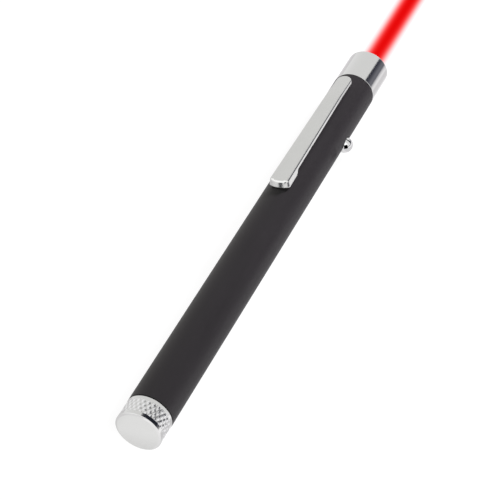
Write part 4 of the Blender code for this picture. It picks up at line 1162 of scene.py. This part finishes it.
def studio_surroundings(stage):
    """The world: white to the camera and through glass, and an even light on matt surfaces.

    Mirrors see a pale studio, brighter high up behind the tail and a little greyer high up elsewhere. Ahead
    of the nose and to its right stands a dark side, which begins at a slanting edge and, far ahead, grows
    paler to the right. The cap's sloping edge mirrors a dark disc that stands behind the tail.
    """
    world = bpy.data.worlds.new("studio")
    bpy.context.scene.world = world
    r = Recipe(world)
    place = r.node("ShaderNodeTexCoord").outputs["Generated"]
    x, y, z = r.parts(place)
    clock = r.maths("ARCTAN2", x, z) * (180.0 / math.pi)
    edge = r.within(52.5 + (y - 0.743) * 302.0, 1.0, 68.0)
    side = r.step(clock - edge, -0.5, 1.5) * r.fall(clock, 140.0, 150.0) * r.step(y, 0.42, 0.50)
    towards_disc = r.node("ShaderNodeVectorMath", {0: place, 1: DISC_DIRECTION}, operation="DOT_PRODUCT")
    disc = r.step(towards_disc.outputs["Value"], *(math.cos(angle) for angle in DISC_EDGE_ANGLES))
    ahead = r.step(y, -0.35, -0.05)
    bright = r.mix(r.step(z, 0.12, 0.4) * (1.0 - ahead), WHITE, (1.45, 1.45, 1.45))
    pale = r.mix(r.step(z, -0.2, 0.9) * ahead, bright, (0.90, 0.90, 0.89))
    far = r.step(y, 0.60, 0.72)
    shade = r.mix(far, NEAR_BLACK, (0.040, 0.042, 0.060))
    shade = r.mix(far * r.step(clock, 57.0, 98.0), shade, (0.24, 0.24, 0.27))
    is_mirrored, is_seen = ray_kinds(r)
    mirrored = r.mix(r.maths("MAXIMUM", side, disc), pale, shade)
    shown = r.mix(is_seen, r.mix(is_mirrored, (stage.ambient,) * 3, mirrored), WHITE)
    background = r.node("ShaderNodeBackground", {"Color": shown, "Strength": 1.0})
    r.node("ShaderNodeOutputWorld", {"Surface": background.outputs[0]})


def floor_finish(stage):
    """A pale floor, white to the camera but for a share of the pen's shadow.

    Mirrors see more of that shadow, and a floor whose glow is painted in zones: painted shade to the left of
    the pen, a painted shadow of the pen close beside it on the right, a strip of painted light further right,
    and painted light behind the tail. To the right of the pen it fades to a painted dark, from 33 to 35 mm
    beside the tail and from 20 to 49 mm beside the nose, but only ahead of a line that slants forward from
    the tail to the right.
    """
    r = new_finish("studio_floor")
    x, y, z = r.parts(r.place())
    forward = r.within((y - 20.0) / 170.0, 0.0, 1.2)
    near, far = 33.0 - forward * 15.0, forward * 17.0 + 35.0
    fade = r.within((x - near) / (far - near), 0.0, 1.0) * r.step(y - x * 0.62, -5.0, 5.0)
    is_mirrored, is_seen = ray_kinds(r)
    matt = r.node("ShaderNodeBsdfDiffuse", {"Color": FLOOR_COLOUR})
    # The glow that mirrors see is painted: a painted shadow of the pen close beside it on the right, painted
    # shade far to its left, a strip of painted light further right and painted light behind the tail.
    beside = r.step(x, 6.0, 8.0) * r.fall(x, 13.0, 17.0) * r.step(y, -8.0, 0.0)
    painted_shade = r.fall(x, -18.0, -8.0) * 0.28 + beside * 0.24
    painted_light_strip = r.step(x, 15.0, 18.0) * r.fall(x, 26.0, 30.0) * r.fall(y, 150.0, 160.0) * 0.30
    behind = r.fall(y, -6.0, 0.0) * 0.17 + r.fall(y, -60.0, -25.0) * 0.15
    glow = r.glow(is_seen * stage.floor_glow + is_mirrored * (1.05 - painted_shade + painted_light_strip + behind))
    share = is_seen * (1.0 - stage.shadow) + is_mirrored * 0.8
    mixed = r.node("ShaderNodeMixShader", {0: share, 1: matt.outputs[0], 2: glow.outputs[0]})
    # Painted dark, which mirrors see to the right of the pen.
    dark = r.glow(r.mix(forward, NEAR_BLACK, (0.20, 0.20, 0.23)))
    faded = r.node("ShaderNodeMixShader", {0: fade * is_mirrored, 1: mixed.outputs[0], 2: dark.outputs[0]})
    return r.surface(faded)


def beam_finish(radius):
    """Red light with a soft edge: it takes green and blue out of what lies behind it.

    Its density falls from the middle as exp(-r^2 / 2 s^2), with s a third of the tube's radius.
    """
    r = new_finish("red_beam")
    share = r.pen_axes()[1] / (radius / MM / 3.0)
    density = r.maths("EXPONENT", share * share * -0.5) * BEAM_DENSITY
    volume = r.node("ShaderNodeVolumeAbsorption", {"Color": BEAM_COLOUR, "Density": density})
    r.node("ShaderNodeOutputMaterial", {"Volume": volume.outputs[0]})
    return r.owner


def make_beam(stage, columns=48):
    """The red light in front of the pen: a plain tube for its glow, which isn't a piece of the pen."""
    radius, first = stage.beam_radius, ends_of("lens_bezel")[1]
    last = first + stage.beam_length
    rows = np.array(((0.0, first), (radius, first), (radius, last), (0.0, last)))
    points = on_pen(rows[:, :1], rows[:, 1:], around(columns)[None, :])
    unseen = ("glossy", "diffuse", "shadow")
    stage_object("red_beam", points, grid_faces(len(rows), columns), beam_finish(radius), True, unseen)


def make_flag():
    """A small black card beside the button, which only mirrors show: the round dark spot in the ball."""
    r = new_finish("black_flag")
    across = tuple(part * FLAG_HALF for part in FLAG_ACROSS)
    unseen = ("camera", "diffuse", "transmission", "shadow")
    card("black_flag", FLAG_MIDDLE, across, (0.0, 0.0, FLAG_HALF), r.surface(r.glow((0.0,) * 3)), unseen)


class POINTER_OT_stage(bpy.types.Operator):
    """Makes the floor, the surroundings, the lamps and the camera"""

    bl_idname = "pointer.stage"
    bl_label = "Stage"
    bl_options = {"REGISTER", "UNDO"}

    def execute(self, context):
        stage = context.scene.pointer_stage
        middle = (0.0, 0.0, cad_bounds[0][2])
        card("studio_floor", middle, (FLOOR_HALF, 0.0, 0.0), (0.0, FLOOR_HALF, 0.0), floor_finish(stage))
        studio_surroundings(stage)
        lamp("key_lamp", (0.24, -0.20, 0.24), 0.04, 0.12, stage.key_power)
        lamp("fill_lamp", (-0.66, 0.30, 0.16), 0.08, 0.30, stage.fill_power, (1.0, 0.84, 0.66))
        lamp("side_lamp", (0.24, 0.64, 0.27), 0.08, 0.10, stage.side_power, (0.97, 0.88, 1.0))
        make_flag()
        if stage.beam_shown:
            make_beam(stage)
        data = bpy.data.cameras.new("camera")
        data.lens, data.sensor_width = CAMERA_LENS, CAMERA_SENSOR
        data.clip_start, data.clip_end = CAMERA_RANGE
        camera = new_object("camera", data)
        camera.rotation_mode = "QUATERNION"
        camera.location = CAMERA_PLACE
        level = (CAMERA_AIM - CAMERA_PLACE).to_track_quat("-Z", "Y")
        camera.rotation_quaternion = level @ Quaternion((0.0, 0.0, 1.0), CAMERA_ROLL)
        context.scene.camera = camera
        context.scene.view_settings.view_transform = "Standard"
        return {"FINISHED"}


class POINTER_PT_panel(bpy.types.Panel):
    """Lists the pen's pieces and settings"""

    bl_label = "Laser Pointer"
    bl_idname = "POINTER_PT_panel"
    bl_space_type = "VIEW_3D"
    bl_region_type = "UI"
    bl_category = "Laser Pointer"

    def draw(self, context):
        column = self.layout.column(align=True)
        for operator in OPERATORS:
            column.operator(operator.bl_idname)
        for name in GROUPS:
            box, group = self.layout.box(), getattr(context.scene, name)
            for setting in group.__annotations__:
                box.prop(group, setting)


OPERATORS = (
    POINTER_OT_stage,
    POINTER_OT_carried,
    POINTER_OT_barrel,
    POINTER_OT_tail_cap,
    POINTER_OT_nose_cap,
    POINTER_OT_clip,
    POINTER_OT_button,
    POINTER_OT_springs,
)
GROUPS = {"pointer_sizes": PointerSizes, "pointer_colours": PointerColours, "pointer_stage": PointerStage}
CLASSES = (*GROUPS.values(), *OPERATORS, POINTER_PT_panel)


def register():
    """Registers the classes and gives the scene its settings."""
    for cls in CLASSES:
        bpy.utils.register_class(cls)
    for name, group in GROUPS.items():
        setattr(bpy.types.Scene, name, bpy.props.PointerProperty(type=group))


def unregister():
    """Takes the settings and the classes away again."""
    for name in GROUPS:
        delattr(bpy.types.Scene, name)
    for cls in reversed(CLASSES):
        bpy.utils.unregister_class(cls)


def main():
    """Makes the whole scene."""
    register()
    for operator in OPERATORS:
        group, name = operator.bl_idname.split(".")
        getattr(getattr(bpy.ops, group), name)()


if __name__ == "__main__":
    main()
